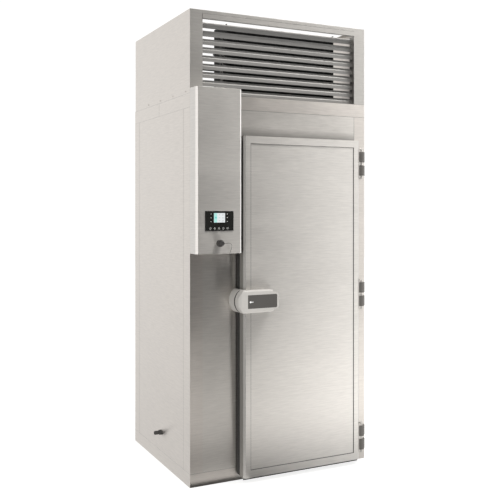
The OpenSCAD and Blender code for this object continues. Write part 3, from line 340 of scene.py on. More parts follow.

# %% [markdown]
# The list of finishes. The steel is a warm light grey. The pressed parts near the machines are zinc
# plated, the coil block behind the louvre is painted black, and the pipes are copper. The plastics
# go from the pale grey latch to the near black trim. Some finishes paint light: a lighter and a
# darker copy of the steel for folds, a darker steel for the louvre blades, and the dark grey of a
# painted shade line. Inks, that dark grey and sealant close the list.

# %% All finishes
STEEL = dict(group=grain_group, metallic=1.0, tone=0.10, blur=0.04, bump_mm=0.03, stretch=0.92)
ZINC = dict(group=grain_group, metallic=1.0, tone=0.10, blur=0.06, bump_mm=0.02)
FOLD = dict(group=grain_group, metallic=0.9, tone=0.10, blur=0.04, bump_mm=0.01)
PLASTIC = dict(group=skin_group, tone=0.05, blur=0.05, bump_mm=0.012)
ENAMEL = dict(group=skin_group, tone=0.12, blur=0.06, bump_mm=0.02, coat=0.15)
GLASS = dict(group=skin_group, tone=0.04, blur=0.02, bump_mm=0.001)
MASTIC = dict(group=skin_group, tone=0.10, blur=0.06, bump_mm=0.05)
FINISHES = {
    "cabinet_steel": ((0.655, 0.617, 0.58), 0.33, STEEL),
    "front_steel": ((0.66, 0.634, 0.60), 0.33, STEEL),
    "door_steel": ((0.705, 0.681, 0.65), 0.36, STEEL),
    "column_steel": ((0.685, 0.664, 0.636), 0.41, STEEL),
    "rail_steel": ((0.485, 0.471, 0.452), 0.46, STEEL),
    # The louvre blades' steel is darker than the front's: a painted shade on blades that sit back
    # behind the louvre's frame.
    "louvre_steel": ((0.385, 0.378, 0.367), 0.68, dict(STEEL, stretch=0.2, tone=0.06)),
    "inner_steel": ((0.64, 0.64, 0.63), 0.30, STEEL),
    "hardware_steel": ((0.62, 0.61, 0.59), 0.38, ZINC),
    "zinc_steel": ((0.52, 0.53, 0.54), 0.42, ZINC),
    "chassis_zinc": ((0.50, 0.51, 0.52), 0.40, ZINC),
    "bare_coil": ((0.70, 0.71, 0.72), 0.38, ZINC),
    "copper": ((0.78, 0.40, 0.24), 0.28, ZINC),
    # A lighter and a darker copy of the steel paint a highlight and shade on folds.
    "painted_highlight_steel": ((0.80, 0.79, 0.775), 0.55, dict(FOLD, metallic=0.35, tone=0.04)),
    "painted_shade_steel": ((0.27, 0.262, 0.25), 0.50, FOLD),
    "foam": ((0.86, 0.78, 0.52), 0.85, dict(PLASTIC, tone=0.14, bump_mm=0.4)),
    "black_coil": ((0.010, 0.010, 0.010), 0.90, dict(PLASTIC, tone=0.12, bump_mm=0.02)),
    "bend_black": ((0.17, 0.165, 0.16), 0.20, dict(PLASTIC, tone=0.15, bump_mm=0.02, coat=0.8)),
    "black_paint": ((0.022, 0.022, 0.022), 0.42, ENAMEL),
    "motor_black": ((0.035, 0.035, 0.036), 0.45, ENAMEL),
    "fan_plastic": ((0.045, 0.045, 0.048), 0.42, PLASTIC),
    "handle_grey": ((0.40, 0.385, 0.365), 0.45, PLASTIC),
    "inlay_grey": ((0.062, 0.057, 0.052), 0.55, PLASTIC),
    "latch_black": ((0.030, 0.030, 0.030), 0.45, PLASTIC),
    "hinge_plastic": ((0.105, 0.098, 0.090), 0.50, PLASTIC),
    "cap_black": ((0.030, 0.028, 0.027), 0.48, PLASTIC),
    "tether_black": ((0.050, 0.045, 0.040), 0.50, PLASTIC),
    "rubber_black": ((0.022, 0.022, 0.022), 0.62, PLASTIC),
    "guide_plastic": ((0.76, 0.75, 0.71), 0.45, PLASTIC),
    "gland_black": ((0.055, 0.053, 0.050), 0.50, PLASTIC),
    "socket_grey": ((0.115, 0.110, 0.105), 0.38,
                    dict(PLASTIC, tone=0.08, bump_mm=0.01, metallic=0.6)),
    "release_green": ((0.05, 0.33, 0.12), 0.30,
                      dict(PLASTIC, tone=0.06, blur=0.04, bump_mm=0.008, coat=0.3)),
    "display_black": ((0.012, 0.012, 0.011), 0.12, dict(GLASS, tone=0.1, coat=0.5)),
    "screen_light": ((0.52, 0.545, 0.56), 0.20, dict(GLASS, tone=0.03, glow=0.22)),
    "screen_teal": ((0.30, 0.56, 0.53), 0.3, dict(GLASS, glow=0.15)),
    "screen_deep_teal": ((0.08, 0.42, 0.40), 0.3, dict(GLASS, glow=0.15)),
    "screen_grey": ((0.34, 0.36, 0.37), 0.3, dict(GLASS, glow=0.10)),
    "pale_ink": ((0.50, 0.50, 0.49), 0.5, dict(GLASS, tone=0.05, blur=0.03)),
    "white_ink": ((0.80, 0.80, 0.79), 0.45, dict(GLASS, blur=0.03)),
    # A dark grey that paints a line of shade round the door's field.
    "field_line_shade": ((0.075, 0.072, 0.068), 0.6, dict(PLASTIC, tone=0.1, bump_mm=0.02)),
    "grey_sealant": ((0.40, 0.39, 0.375), 0.55, MASTIC),
    "dark_sealant": ((0.14, 0.136, 0.13), 0.55, MASTIC),
}
MATERIALS = {
    name: shaded(name, colour, rough, **rest) for name, (colour, rough, rest) in FINISHES.items()
}


def paint(piece, finish):
    """Gives a piece one finish."""
    piece.data.materials.clear()
    piece.data.materials.append(MATERIALS[finish])


for node, part in frame["nodes"].items():
    paint(part, SLOT_OF[node])
paint(tether, "tether_black")
print(len(MATERIALS), "finishes on", len(frame["nodes"]), "nodes")

# %% [markdown]
# ## Workshop helpers
# Most trim on a steel cabinet is cut from bar, sheet or round stock, and its edges are broken so
# that they don't cut hands. A block and a turned part are therefore enough to start most pieces.
# A Bevel modifier with an angle limit breaks the edges and leaves flat and round faces alone.
# Broken edges matter in a render because they catch the light as thin lines.

# %% Helpers: select, edit, bevel, hand over
SMOOTH_ANGLE = math.radians(35)
MERGE = 0.01 * MM


def pick(*pieces):
    """Selects only these pieces and makes the first one active."""
    bpy.ops.object.select_all(action="DESELECT")
    for piece in pieces:
        piece.select_set(True)
    bpy.context.view_layer.objects.active = pieces[0]


@contextmanager
def editing(piece, action="SELECT"):
    """Edit mode on one piece, with all of its mesh selected unless another action is named."""
    pick(piece)
    bpy.ops.object.mode_set(mode="EDIT")
    bpy.ops.mesh.select_all(action=action)
    yield
    bpy.ops.object.mode_set(mode="OBJECT")


def modified(piece, kind, **settings):
    """Gives a piece a modifier with these settings and applies it."""
    pick(piece)
    modifier = piece.modifiers.new(kind.lower(), kind)
    for name, value in settings.items():
        setattr(modifier, name, value)
    bpy.ops.object.modifier_apply(modifier=modifier.name)
    return piece


def break_edges(piece, width, segments=2):
    """Rounds every edge that is sharper than the smooth angle."""
    return modified(piece, "BEVEL", width=width, segments=segments, limit_method="ANGLE",
                    angle_limit=SMOOTH_ANGLE, use_clamp_overlap=True)


def hand_over(piece, name, body, slot, finish=None):
    """Puts a finished piece's place in its mesh, gives it its finish and lets it ride on a body."""
    pick(piece)
    bpy.ops.object.transform_apply(location=True, rotation=True, scale=True)
    bpy.ops.object.shade_smooth_by_angle(angle=SMOOTH_ANGLE)
    modified(piece, "WEIGHTED_NORMAL", keep_sharp=True)
    piece.name = piece.data.name = name
    if finish or not piece.data.materials:
        paint(piece, finish or slot)
    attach(piece, body)
    return piece


def recalculate(piece):
    """Merges doubles and turns all faces outwards."""
    with editing(piece):
        bpy.ops.mesh.remove_doubles(threshold=MERGE)
        bpy.ops.mesh.normals_make_consistent(inside=False)
    return piece


print("helpers ready")

# %% [markdown]
# Two kinds of blank. The block lies between two corners. The turned part is a profile of (radius,
# height) pairs in millimetres that is spun round its axis, as on a lathe: that gives a stepped
# shape in one piece. A profile that starts on the axis gives a solid part, and any other is
# closed to a ring.

# %% Helpers: blanks
UP = (0, 0, 1)


def block(low, high, edge=0.4 * MM, segments=2):
    """A block between two corners, with broken edges."""
    low, high = Vector(low), Vector(high)
    bpy.ops.mesh.primitive_cube_add(size=1, location=(low + high) / 2)
    piece = bpy.context.object
    piece.scale = high - low
    bpy.ops.object.transform_apply(location=True, rotation=True, scale=True)
    return break_edges(piece, edge, segments) if edge else piece


def aimed(place, direction):
    """The move that takes a part made at the origin and pointing up to a place and a direction."""
    turn = Vector(direction).to_track_quat("Z", "Y").to_matrix().to_4x4()
    return Matrix.Translation(place) @ turn


def turned(profile_mm, place, direction=UP, sides=32):
    """A profile spun round its axis, then stood on a place."""
    bpy.ops.mesh.primitive_plane_add(size=1)
    piece = bpy.context.object
    mesh = bmesh.new()
    points = [mesh.verts.new((radius * MM, 0, height * MM)) for radius, height in profile_mm]
    if profile_mm[0][0] > 0:
        points.append(mesh.verts.new(points[0].co))
    for a, b in zip(points, points[1:]):
        mesh.edges.new((a, b))
    mesh.to_mesh(piece.data)
    mesh.free()
    with editing(piece):
        bpy.ops.mesh.spin(steps=sides, angle=2 * math.pi, center=(0, 0, 0), axis=UP)
    recalculate(piece)
    piece.data.transform(aimed(place, direction))
    return piece


def joined(pieces):
    """Several pieces made one object."""
    pick(*pieces)
    if len(pieces) > 1:
        bpy.ops.object.join()
    return bpy.context.object


def repeated(model, moves):
    """A modelled piece copied by each move, and all the copies made one object."""
    copies = []
    for move in moves:
        copies.append(placed(model.name, model.data.copy()))
        copies[-1].data.transform(move)
    bpy.data.objects.remove(model)
    return joined(copies)


def turned_trim(name, slot, profile_mm, places, direction=UP, sides=32, body="cabinet"):
    """The same turned part at one or more places, handed over as one piece."""
    parts = [turned(profile_mm, place, direction, sides) for place in places]
    return hand_over(joined(parts), name, body, slot)


print("blanks ready")

# %% [markdown]
# A screw head is the smallest piece here and the one that is repeated most. It is a low dome with
# a round socket. The disc's top is inset three times: for the dome's shoulder, for the rim of the
# socket, and for the inner face, which is pushed down.

# %% Helper: screw heads
HEAD_SIDES = 18
# Each inset of a head: how far in, as a share of its width, and how far up, of its height.
HEAD_INSETS = ((0.10, 0.28), (0.16, 0.0), (0.02, -0.8))


def screws(name, places, direction, head_d=8, head_h=2.4, body="cabinet", slot="hardware_steel"):
    """Screw heads of a size in millimetres at several places, all pointing the same way."""
    width, height = head_d * MM, head_h * MM
    bpy.ops.mesh.primitive_cylinder_add(vertices=HEAD_SIDES, radius=width / 2, depth=height,
                                        location=(0, 0, height / 2))
    head = bpy.context.object
    bpy.ops.object.transform_apply(location=True, rotation=True, scale=True)
    with editing(head, "DESELECT"):
        mesh = bmesh.from_edit_mesh(head.data)
        for face in mesh.faces:
            face.select = face.normal.z > 0.9
        bmesh.update_edit_mesh(head.data)
        for inward, upward in HEAD_INSETS:
            bpy.ops.mesh.inset(thickness=width * inward, depth=height * upward)
    heads = repeated(head, [aimed(place, direction) for place in places])
    return hand_over(heads, name, body, slot)


print("screw helper ready")

# %% [markdown]
# ## Edges of the sheet-metal parts
# The model's edges are mathematically sharp, and no folded sheet is. A fold has an outer radius
# of about one sheet thickness, and a moulded cover has a soft edge. For each part below, a copy
# of the model's mesh is merged, its flat faces are dissolved back into whole ones, and its sharp
# edges are rounded. The copy then stands for the model's part. The table gives each part's edge
# radius in millimetres.

# %% Rounded copies of model parts
ROUNDED_MM = {
    "handle_lever": 2.5, "strike_housing": 2.5, "hinge_blocks": 1.5, "hinge_door_leaves": 1.0,
    "hinge_frame_leaves": 0.8, "hinge_pins": 1.0, "door_leaf": 0.9, "control_column": 1.0,
    "display_glass": 0.5, "handle_inlay": 0.4, "socket_cap": 0.8, "drain_nut": 1.0,
    "drain_spigot": 0.6, "release_knob": 1.5, "louvre_blades": 0.5, "louvre_frame": 0.5,
    "trolley_guides": 1.5, "handle_base": 1.0, "liquid_receiver": 3.0, "fan_panel": 0.6,
    "drip_tray": 0.6,
}
WIDE_EDGE_MM = 2.0
COPIES = {}


def rounded_copy(node, radius_mm):
    """A copy of a model part with rounded edges, which stands for that part."""
    source = frame["nodes"][node]
    piece = placed(node + "_rounded", source.data.copy())
    with editing(piece):
        bpy.ops.mesh.remove_doubles(threshold=MERGE)
        bpy.ops.mesh.dissolve_limited(angle_limit=math.radians(0.5))
    break_edges(piece, radius_mm * MM, 3 if radius_mm > WIDE_EDGE_MM else 2)
    hand_over(piece, node + "_rounded", source["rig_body"], SLOT_OF[node])
    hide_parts(node)
    return piece


for rounded_node, edge_mm in ROUNDED_MM.items():
    COPIES[rounded_node] = rounded_copy(rounded_node, edge_mm)
    print(rounded_node, len(COPIES[rounded_node].data.polygons), "faces")

# %% [markdown]
# A fold gets a copy of the steel in another colour, which paints light on it. Where the column's
# front turns back to its right side, a lighter, matt copy paints a bright highlight along the fold.
# The door's narrow left side and top and the step round its field get a darker copy. It paints
# shade on them where they look into the gap beside the column, and on the left side it also paints
# a dark reflection of the column. The louvre's frame and the hinge leaves are of other sheets than
# the parts beside them, so they get a finish of their own.

# %% Painted highlight and shade on the folds of the column and the door
def repaint(node, finish, chosen):
    """Gives a rounded copy a second finish on the faces whose normal and centre pass a test."""
    piece = COPIES[node]
    piece.data.materials.append(MATERIALS[finish])
    last = len(piece.data.materials) - 1
    faces = [face for face in piece.data.polygons if chosen(face.normal, face.center)]
    for face in faces:
        face.material_index = last
    print(piece.name, finish, "on", len(faces), "faces")


paint(COPIES["louvre_frame"], "rail_steel")
for leaf in ("hinge_frame_leaves", "hinge_door_leaves"):
    paint(COPIES[leaf], "front_steel")
repaint("control_column", "painted_highlight_steel", lambda n, c: n.x > 0.4 and n.y < -0.25)
door_low, door_high = corners("door_leaf")
RIM_IN, STEP_DEEP, SIDE_IN, TOP_IN = 34 * MM, 8 * MM, 14 * MM, 4 * MM


def in_rim_step(normal, centre):
    """Tells whether a face belongs to the step between the door's rim and its field."""
    inside = all(door_low[k] + RIM_IN < centre[k] < door_high[k] - RIM_IN for k in (0, 2))
    return inside and abs(normal.y) < 0.9 and centre.y < door_low.y + STEP_DEEP


def on_side_or_top(normal, centre):
    """Tells whether a face belongs to the door's left side or to its top."""
    on_side = normal.x < -0.3 and centre.x < door_low.x + SIDE_IN
    return on_side or normal.z > 0.6 and centre.z > door_high.z - TOP_IN


repaint("door_leaf", "painted_shade_steel", in_rim_step)
repaint("door_leaf", "painted_shade_steel", on_side_or_top)

# %% [markdown]
# ## Display
# Behind the black glass of the controller sit a small colour screen and touch keys. The keys are
# pictograms printed in pale ink on the back of the glass: three at each side of the screen and a
# row of five round ones below it. They are modelled as thin shapes, because a printed mark has a
# crisp edge that a blurred texture would lose. The pictograms are plain generic signs.

# %% Helpers: flat signs
INK_T, TILE_T, COLUMN_T, ACTIVE_T = 0.12 * MM, 0.1 * MM, 0.08 * MM, 0.16 * MM
GLASS_CORNER = Vector((lo("display_glass").x, lo("display_glass").y, hi("display_glass").z))
OUT_OF_DOOR = (0, -1, 0)


def on_glass(right_mm, down_mm):
    """A place on the glass, measured from its upper left corner."""
    return GLASS_CORNER + Vector((right_mm, 0, -down_mm)) * MM


def ring(place, radius_mm, wall_mm, sides=24):
    """A flat ring that faces the viewer. A wall as wide as the radius makes a dot."""
    inner, thick = radius_mm - wall_mm, INK_T / MM
    profile = [(inner, 0), (radius_mm, 0), (radius_mm, thick), (inner, thick)]
    return turned(profile, place, OUT_OF_DOOR, sides)


def bar(place, width_mm, height_mm, thick=INK_T):
    """A flat bar round a place, in the plane of the front."""
    half = Vector((width_mm, 0, height_mm)) * MM / 2
    return block(place - half - Vector((0, thick, 0)), place + half, 0.25 * thick, 1)


def inked(pieces, name, ink):
    """Flat shapes made one piece of one ink."""
    return hand_over(joined(pieces), name, "cabinet", "screen_light", ink)


print("glass corner at", [round(v, 4) for v in GLASS_CORNER])

# %% [markdown]
# Each key of the row is a ring with its own sign: a stroke, three lines, a cross, a dot and a
# smaller ring. The keys at the sides have a diamond at the left of the screen and a bar at its
# right.

# %% Touch keys
KEY_ROW_MM = (28, 52, 76, 100, 124)
KEY_ROW_DOWN_MM = 88
SIDE_KEYS_DOWN_MM = (15, 33, 53)
key_places = [on_glass(right, KEY_ROW_DOWN_MM) for right in KEY_ROW_MM]
stroke_key, lines_key, cross_key, dot_key, ring_key = key_places
key_parts = [ring(place, 5.6, 0.9) for place in key_places]
key_parts.append(bar(stroke_key, 1.2, 5.5))
key_parts += [bar(lines_key + Vector((0, 0, up * MM)), 5.0, 0.9) for up in (-1.6, 0, 1.6)]
key_parts += [bar(cross_key, 5.2, 1.0), bar(cross_key, 1.0, 5.2)]
key_parts += [ring(dot_key, 1.0, 1.0), ring(ring_key, 2.6, 0.8)]
for down in SIDE_KEYS_DOWN_MM:
    key_parts += [ring(on_glass(32, down), 2.8, 1.0, sides=4), bar(on_glass(122.5, down), 4.6, 3.4)]
inked(key_parts, "touch_key_signs", "pale_ink")
print("signs:", len(key_parts), "shapes")

# %% [markdown]
# The screen shows a plain control page: a teal column at its left with one active tile, and rows
# of small grey tiles. No words are needed, since nobody can read a screen 60 mm wide from across
# a kitchen.

# %% Screen page
screen_low, screen_high = corners("display_screen")
SCREEN_SIZE = screen_high - screen_low


def on_screen(across, up):
    """A place on the screen, as fractions of its width and height."""
    return Vector((screen_low.x + across * SCREEN_SIZE.x, screen_low.y,
                   screen_low.z + up * SCREEN_SIZE.z))


inked([bar(on_screen(0.15, 0.5), 0.28 * SCREEN_SIZE.x / MM, 0.98 * SCREEN_SIZE.z / MM, COLUMN_T)],
      "screen_column", "screen_teal")
inked([bar(on_screen(0.17, 0.52), 8.5, 8.5, ACTIVE_T)], "screen_active_tile", "screen_deep_teal")
tiles = [bar(on_screen(0.50, up), 6, 3.2, TILE_T) for up in (0.18, 0.50, 0.82)]
tiles += [bar(on_screen(0.80, up), 9, 1.6, TILE_T) for up in (0.14, 0.22, 0.46, 0.54, 0.78, 0.86)]
inked(tiles, "screen_tiles", "screen_grey")
print("screen page ready")

# %% [markdown]
# ## Latch trim
# The cover on the lever carries a generic pointer, a dot with a bar, in white ink. A black plate in
# the joint between the strike housing and the lever paints that joint's shade, so that the joint
# reads as one dark line. It starts as the end of a copy of the lever, which is pressed flat into
# the joint.

# %% Latch mark and painted joint shade
inlay_low = lo("handle_inlay")
mark_place = Vector((inlay_low.x + 15 * MM, inlay_low.y, middle("handle_inlay").z - 1 * MM))
mark = joined([ring(mark_place, 5.0, 5.0), bar(mark_place + Vector((9.5 * MM, 0, 0)), 13, 3.6)])
hand_over(mark, "latch_pointer", "lever", "handle_grey", "white_ink")

GAP_SHADE_HEIGHT = 0.985
GAP_SHADE_REACH = 3.2 * MM
housing_low, housing_high = corners("strike_housing")
cut_x = housing_high.x - 2 * MM
gap_shade = placed("strike_gap_shade", frame["nodes"]["handle_lever"].data.copy())
with editing(gap_shade):
    bpy.ops.mesh.bisect(plane_co=(cut_x, 0, 0), plane_no=(1, 0, 0), clear_outer=True, use_fill=True)
    bpy.ops.mesh.select_all(action="SELECT")
    bpy.ops.mesh.convex_hull()
gap_back, gap_front = housing_low.y + 0.3 * MM, housing_low.y - 1.2 * MM
flat_ys = [v.co.y for v in gap_shade.data.vertices]
lever_mid_z = middle("handle_lever").z
for point in gap_shade.data.vertices:
    depth = (point.co.y - min(flat_ys)) / (max(flat_ys) - min(flat_ys))
    point.co.y = gap_front + (gap_back - gap_front) * depth
    point.co.z = lever_mid_z + (point.co.z - lever_mid_z) * GAP_SHADE_HEIGHT
    if point.co.x < cut_x - 1 * MM:
        point.co.x -= GAP_SHADE_REACH
hand_over(recalculate(gap_shade), "strike_gap_shade", "cabinet", "latch_black", "latch_black")
print("latch trim ready")

# %% [markdown]
# The field of the door is a panel of its own, set into the raised rim. Four thin dark strips paint
# a hair line of shade all the way round it, wider at the right and at the bottom.

# %% Painted shade line round the door field
FIELD_IN, FIELD_DEEP, SHADE_LINE_W = 39 * MM, 2 * MM, 2.4 * MM
field_low = door_low + Vector((FIELD_IN, FIELD_DEEP, FIELD_IN))
field_high = Vector((door_high.x - FIELD_IN, field_low.y, door_high.z - FIELD_IN))


def shade_line(x0, x1, z0, z1):
    """One side of the line, between two places across and two places up."""
    return block((x0, field_low.y - 0.5 * MM, z0), (x1, field_low.y + 0.2 * MM, z1), 0.2 * MM, 1)


shade_lines = joined([
    shade_line(field_low.x, field_low.x + SHADE_LINE_W, field_low.z, field_high.z),
    shade_line(field_high.x - 1.8 * SHADE_LINE_W, field_high.x, field_low.z, field_high.z),
    shade_line(field_low.x, field_high.x, field_low.z, field_low.z + 1.4 * SHADE_LINE_W),
    shade_line(field_low.x, field_high.x, field_high.z - SHADE_LINE_W, field_high.z),
])
hand_over(shade_lines, "door_field_shade_line", "door", "rubber_black", "field_line_shade")
print("field", [round(v, 3) for v in field_low], [round(v, 3) for v in field_high])

# %% [markdown]
# The lintel's finish is the front's steel with one more input: its colour falls off in the last 55
# mm above the door. That fall-off is painted shade along the door's top edge.

# %% Painted shade on the lintel
SHADE_REACH = 55 * MM
SHADE_SHARE = 0.42
lintel_shaded_steel = MATERIALS["front_steel"].copy()
lintel_shaded_steel.name = "lintel_shaded_steel"
lintel_tree = lintel_shaded_steel.node_tree
lintel_shader = lintel_tree.nodes["Principled BSDF"]
lintel_place = add(lintel_tree, "ShaderNodeTexCoord").outputs["Object"]
lintel_split = add(lintel_tree, "ShaderNodeSeparateXYZ", {"Vector": lintel_place})
# The multiply paints the shade: 0.42 of the colour at the door's top, rising to full colour 55 mm
# above it.
shade_falloff = add(lintel_tree, "ShaderNodeMix", {
    "Factor": 1.0,
    "A": lintel_shader.inputs["Base Color"].links[0].from_socket,
    "B": spread(lintel_tree, lintel_split.outputs["Z"], door_high.z - 5 * MM,
                door_high.z + SHADE_REACH, SHADE_SHARE, 1.0),
}, data_type="RGBA", blend_type="MULTIPLY")
feed(lintel_tree, lintel_shader, {"Base Color": shade_falloff.outputs["Result"]})
frame["nodes"]["lintel_panel"].data.materials[0] = lintel_shaded_steel
print("lintel dulled over", SHADE_REACH, "m")

# %% [markdown]
# ## Joints of the cabinet
# The cabinet is put together from panels on site, and every joint between two panels is closed
# with a thin bead of grey sealant. Seen from a few steps away the beads are faint lines. Each one
# is a narrow block that stands a third of a millimetre proud, and all the beads of one face
# become one object.

# %% Sealant beads
BEAD_W = 1.3 * MM
BEAD_OUT = 0.35 * MM
BEAD_IN = 0.1 * MM
BEAD_EDGE = 0.15 * MM
(LEFT_X, FRONT_Y, _), (RIGHT_X, REAR_Y, RAIL_TOP) = corners("base_frame")
WALL_TOP, CEILING_TOP = hi("left_panel").z, hi("front_ceiling_panel").z


def bead(start, end, outward):
    """A bead from start to end on a face that looks outward."""
    start, end, outward = Vector(start), Vector(end), Vector(outward)
    across = (end - start).normalized().cross(outward)
    half = Vector([abs(c) for c in across]) * BEAD_W / 2
    low = Vector([min(a, b) for a, b in zip(start, end)]) - half
    high = Vector([max(a, b) for a, b in zip(start, end)]) + half
    for axis in range(3):
        if outward[axis]:
            low[axis] -= BEAD_IN if outward[axis] > 0 else BEAD_OUT
            high[axis] += BEAD_OUT if outward[axis] > 0 else BEAD_IN
    return block(low, high, BEAD_EDGE, 1)


def beads(name, runs, outward, finish="grey_sealant"):
    """All the beads of one face made one piece."""
    made = joined([bead(start, end, outward) for start, end in runs])
    return hand_over(made, name, "cabinet", "rubber_black", finish)


def upright(x, y, low_z, high_z):
    """A run up the cabinet."""
    return (x, y, low_z), (x, y, high_z)


def level(x0, x1, y, z):
    """A run across the cabinet."""
    return (x0, y, z), (x1, y, z)


for side, x, outward in (("left", LEFT_X, (-1, 0, 0)), ("right", RIGHT_X, (1, 0, 0))):
    wall_low, wall_high = corners("left_panel")
    runs = [upright(x, wall_low.y, RAIL_TOP, WALL_TOP), upright(x, wall_high.y, RAIL_TOP, WALL_TOP),
            upright(x, hi("front_ceiling_panel").y, WALL_TOP, CEILING_TOP)]
    runs += [((x, FRONT_Y, z), (x, REAR_Y, z)) for z in (RAIL_TOP, WALL_TOP, CEILING_TOP)]
    beads("seal_" + side, runs, outward)
opening_low, opening_high = corners("door_frame")
column_low, column_high = corners("control_column")
beads("seal_front", [
    level(LEFT_X, opening_low.x, FRONT_Y, RAIL_TOP),
    level(column_high.x, RIGHT_X, FRONT_Y, WALL_TOP),
    level(column_high.x, RIGHT_X, FRONT_Y, CEILING_TOP),
    upright(opening_high.x, FRONT_Y, RAIL_TOP, WALL_TOP),
    upright(opening_low.x, FRONT_Y, RAIL_TOP, column_low.z),
    level(opening_high.x, column_high.x, FRONT_Y, opening_high.z),
], OUT_OF_DOOR, "dark_sealant")
RAIL_LINES_DOWN = (17.5 * MM, 44 * MM)
blades_low, blades_high = corners("louvre_blades")
beads("rail_lines", [
    level(blades_low.x, blades_high.x, lo("louvre_frame").y, hi("louvre_frame").z - down)
    for down in RAIL_LINES_DOWN
], OUT_OF_DOOR, "dark_sealant")
# The rear joints are wiped flush, so nothing stands out behind the cabinet.
SEAM_Y = REAR_Y - BEAD_OUT - 0.05 * MM
beads("seal_rear", [
    upright(-opening_high.x, SEAM_Y, RAIL_TOP, WALL_TOP),
    upright(opening_high.x, SEAM_Y, RAIL_TOP, WALL_TOP),
    level(LEFT_X, RIGHT_X, SEAM_Y, RAIL_TOP),
    level(LEFT_X, RIGHT_X, SEAM_Y, WALL_TOP),
], (0, 1, 0))
print("beads on four faces")

# %% [markdown]
# Screws hold what has to come off for service: the lower plate of the column, the side screens,
# also where they meet the rear posts, and the leaves of the hinges. A row of screws is one head,
# modelled once and copied to its places.

# %% Screws outside
screws("column_screws", [
    (x, y, column_low.z) for x in (column_low.x + 30 * MM, column_high.x - 30 * MM)
    for y in (column_low.y + 22 * MM, column_high.y - 18 * MM)
], (0, 0, -1), 7, 2)
SCREEN_EDGE = 9 * MM
SCREEN_FOOT_ROWS = (40 * MM, 160 * MM, 280 * MM)
SCREEN_COLUMNS = (60 * MM, 250 * MM, 450 * MM, 650 * MM)
(_, _, screen_foot), (_, screen_rear, screen_top) = corners("left_screen")
rear_rows = [screen_foot + up for up in SCREEN_FOOT_ROWS] + [screen_top - 40 * MM]
screws("rear_post_screws", [
    (x, screen_rear, z) for z in rear_rows for x in (LEFT_X + SCREEN_EDGE, RIGHT_X - SCREEN_EDGE)
], (0, 1, 0), 7)
for side, x, out in (("left", LEFT_X, -1), ("right", RIGHT_X, 1)):
    screws(side + "_screen_screws", [
        (x, FRONT_Y + back, screen_foot + 14 * MM) for back in SCREEN_COLUMNS
    ], (out, 0, 0), 6, 1.8, slot="cabinet_steel")
HINGE_ROWS = (0.140, 0.949, 1.685)
LEAF_SCREWS = (-72 * MM, 0.0, 72 * MM)
leaf_low, leaf_high = corners("hinge_frame_leaves")
screws("hinge_leaf_screws", [
    (leaf_high.x - 3.6 * MM, leaf_low.y, row + up) for row in HINGE_ROWS for up in LEAF_SCREWS
], OUT_OF_DOOR, 6, 1.8)
print("outside screws ready")

# %% [markdown]
# ## Fans
# An axial fan has a hub and curved blades. Each blade is twisted, steep at the hub and flat at
# the tip, and swept forward like a sickle to run quietly. The blade starts as a grid. Each point
# of the grid is laid on the twisted surface by its distance from the hub and its place across the
# blade, and Solidify gives it its thickness. The hub is turned, and the blades are copies of one.

# %% Fan impellers
BLADES = 5
BLADE_ROOT, TIP_GAP, BLADE_T, CAMBER = 33.84 * MM, 1.5 * MM, 2.2 * MM, 4 * MM
ROOT_PITCH, PITCH_LOSS = 36, 14
SWEEP = 0.42
HUB_PROFILE = [(6.2, -20), (34, -20), (36, -18), (36, 13), (30, 19), (14, 19), (13, 20), (6.2, 20)]


def fan_blade(tip_r, chord):
    """One blade between the hub and the tip radius, round the Z axis."""
    bpy.ops.mesh.primitive_grid_add(x_subdivisions=10, y_subdivisions=8, size=1)
    blade = bpy.context.object
    for point in blade.data.vertices:
        out, across = point.co.x + 0.5, point.co.y
        radius = BLADE_ROOT + (tip_r - TIP_GAP - BLADE_ROOT) * out
        pitch = math.radians(ROOT_PITCH - PITCH_LOSS * out)
        reach = across * chord * (0.80 + 0.30 * out)
        turn = SWEEP * out * out + reach * math.cos(pitch) / radius
        height = reach * math.sin(pitch) + CAMBER * (0.5 - 2 * across * across)
        point.co = (radius * math.cos(turn), radius * math.sin(turn), height)
    modified(blade, "SOLIDIFY", thickness=BLADE_T, offset=0)
    return recalculate(break_edges(blade, 0.6 * MM, 1))


def impeller(node, joint_name, chord):
    """An impeller that stands for a node and turns about that joint's axis."""
    joint = next(j for j in frame["joints"] if j["name"] == joint_name)
    axis = Vector(joint["axis"])
    centre = Vector(joint["pos_m"])
    centre += axis * (middle(node) - centre).dot(axis)
    tip_r = max(hi(node) - lo(node)) / 2
    spokes = [Matrix.Rotation(2 * math.pi * k / BLADES, 4, "Z") for k in range(BLADES)]
    blades = repeated(fan_blade(tip_r, chord), spokes)
    wheel = joined([turned(HUB_PROFILE, (0, 0, 0), UP, 40), blades])
    wheel.data.transform(aimed(centre, axis))
    hand_over(wheel, node + "_wheel", joint["child"], SLOT_OF[node])
    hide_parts(node)


for group, chord, fans in (("evaporator", 66 * MM, ("low", "mid", "top")),
                           ("condenser", 60 * MM, ("left", "right"))):
    for fan in fans:
        impeller(f"{group}_impeller_{fan}", f"{group}_fan_{fan}_spin", chord)
print("five impellers of", BLADES, "blades")

# %% [markdown]
# ## Finned coils
# A coil is a stack of thin fins with tubes through them. The model has only every third fin. Here
# the whole pack is made with an Array modifier from one thin plate.

# %% Fin packs
FIN_T = 0.35 * MM


def fin_pack(name, low, high, axis, pitch, slot):
    """Thin plates side by side along an axis."""
    first_high = Vector(high)
    first_high[axis] = low[axis] + FIN_T
    pack = block(low, first_high, edge=0)
    count = int((high - low)[axis] / pitch)
    modified(pack, "ARRAY", use_relative_offset=False, use_constant_offset=True, count=count,
             constant_offset_displace=[pitch if k == axis else 0 for k in range(3)])
    print(name, count, "fins")
    hand_over(pack, name, "cabinet", slot)


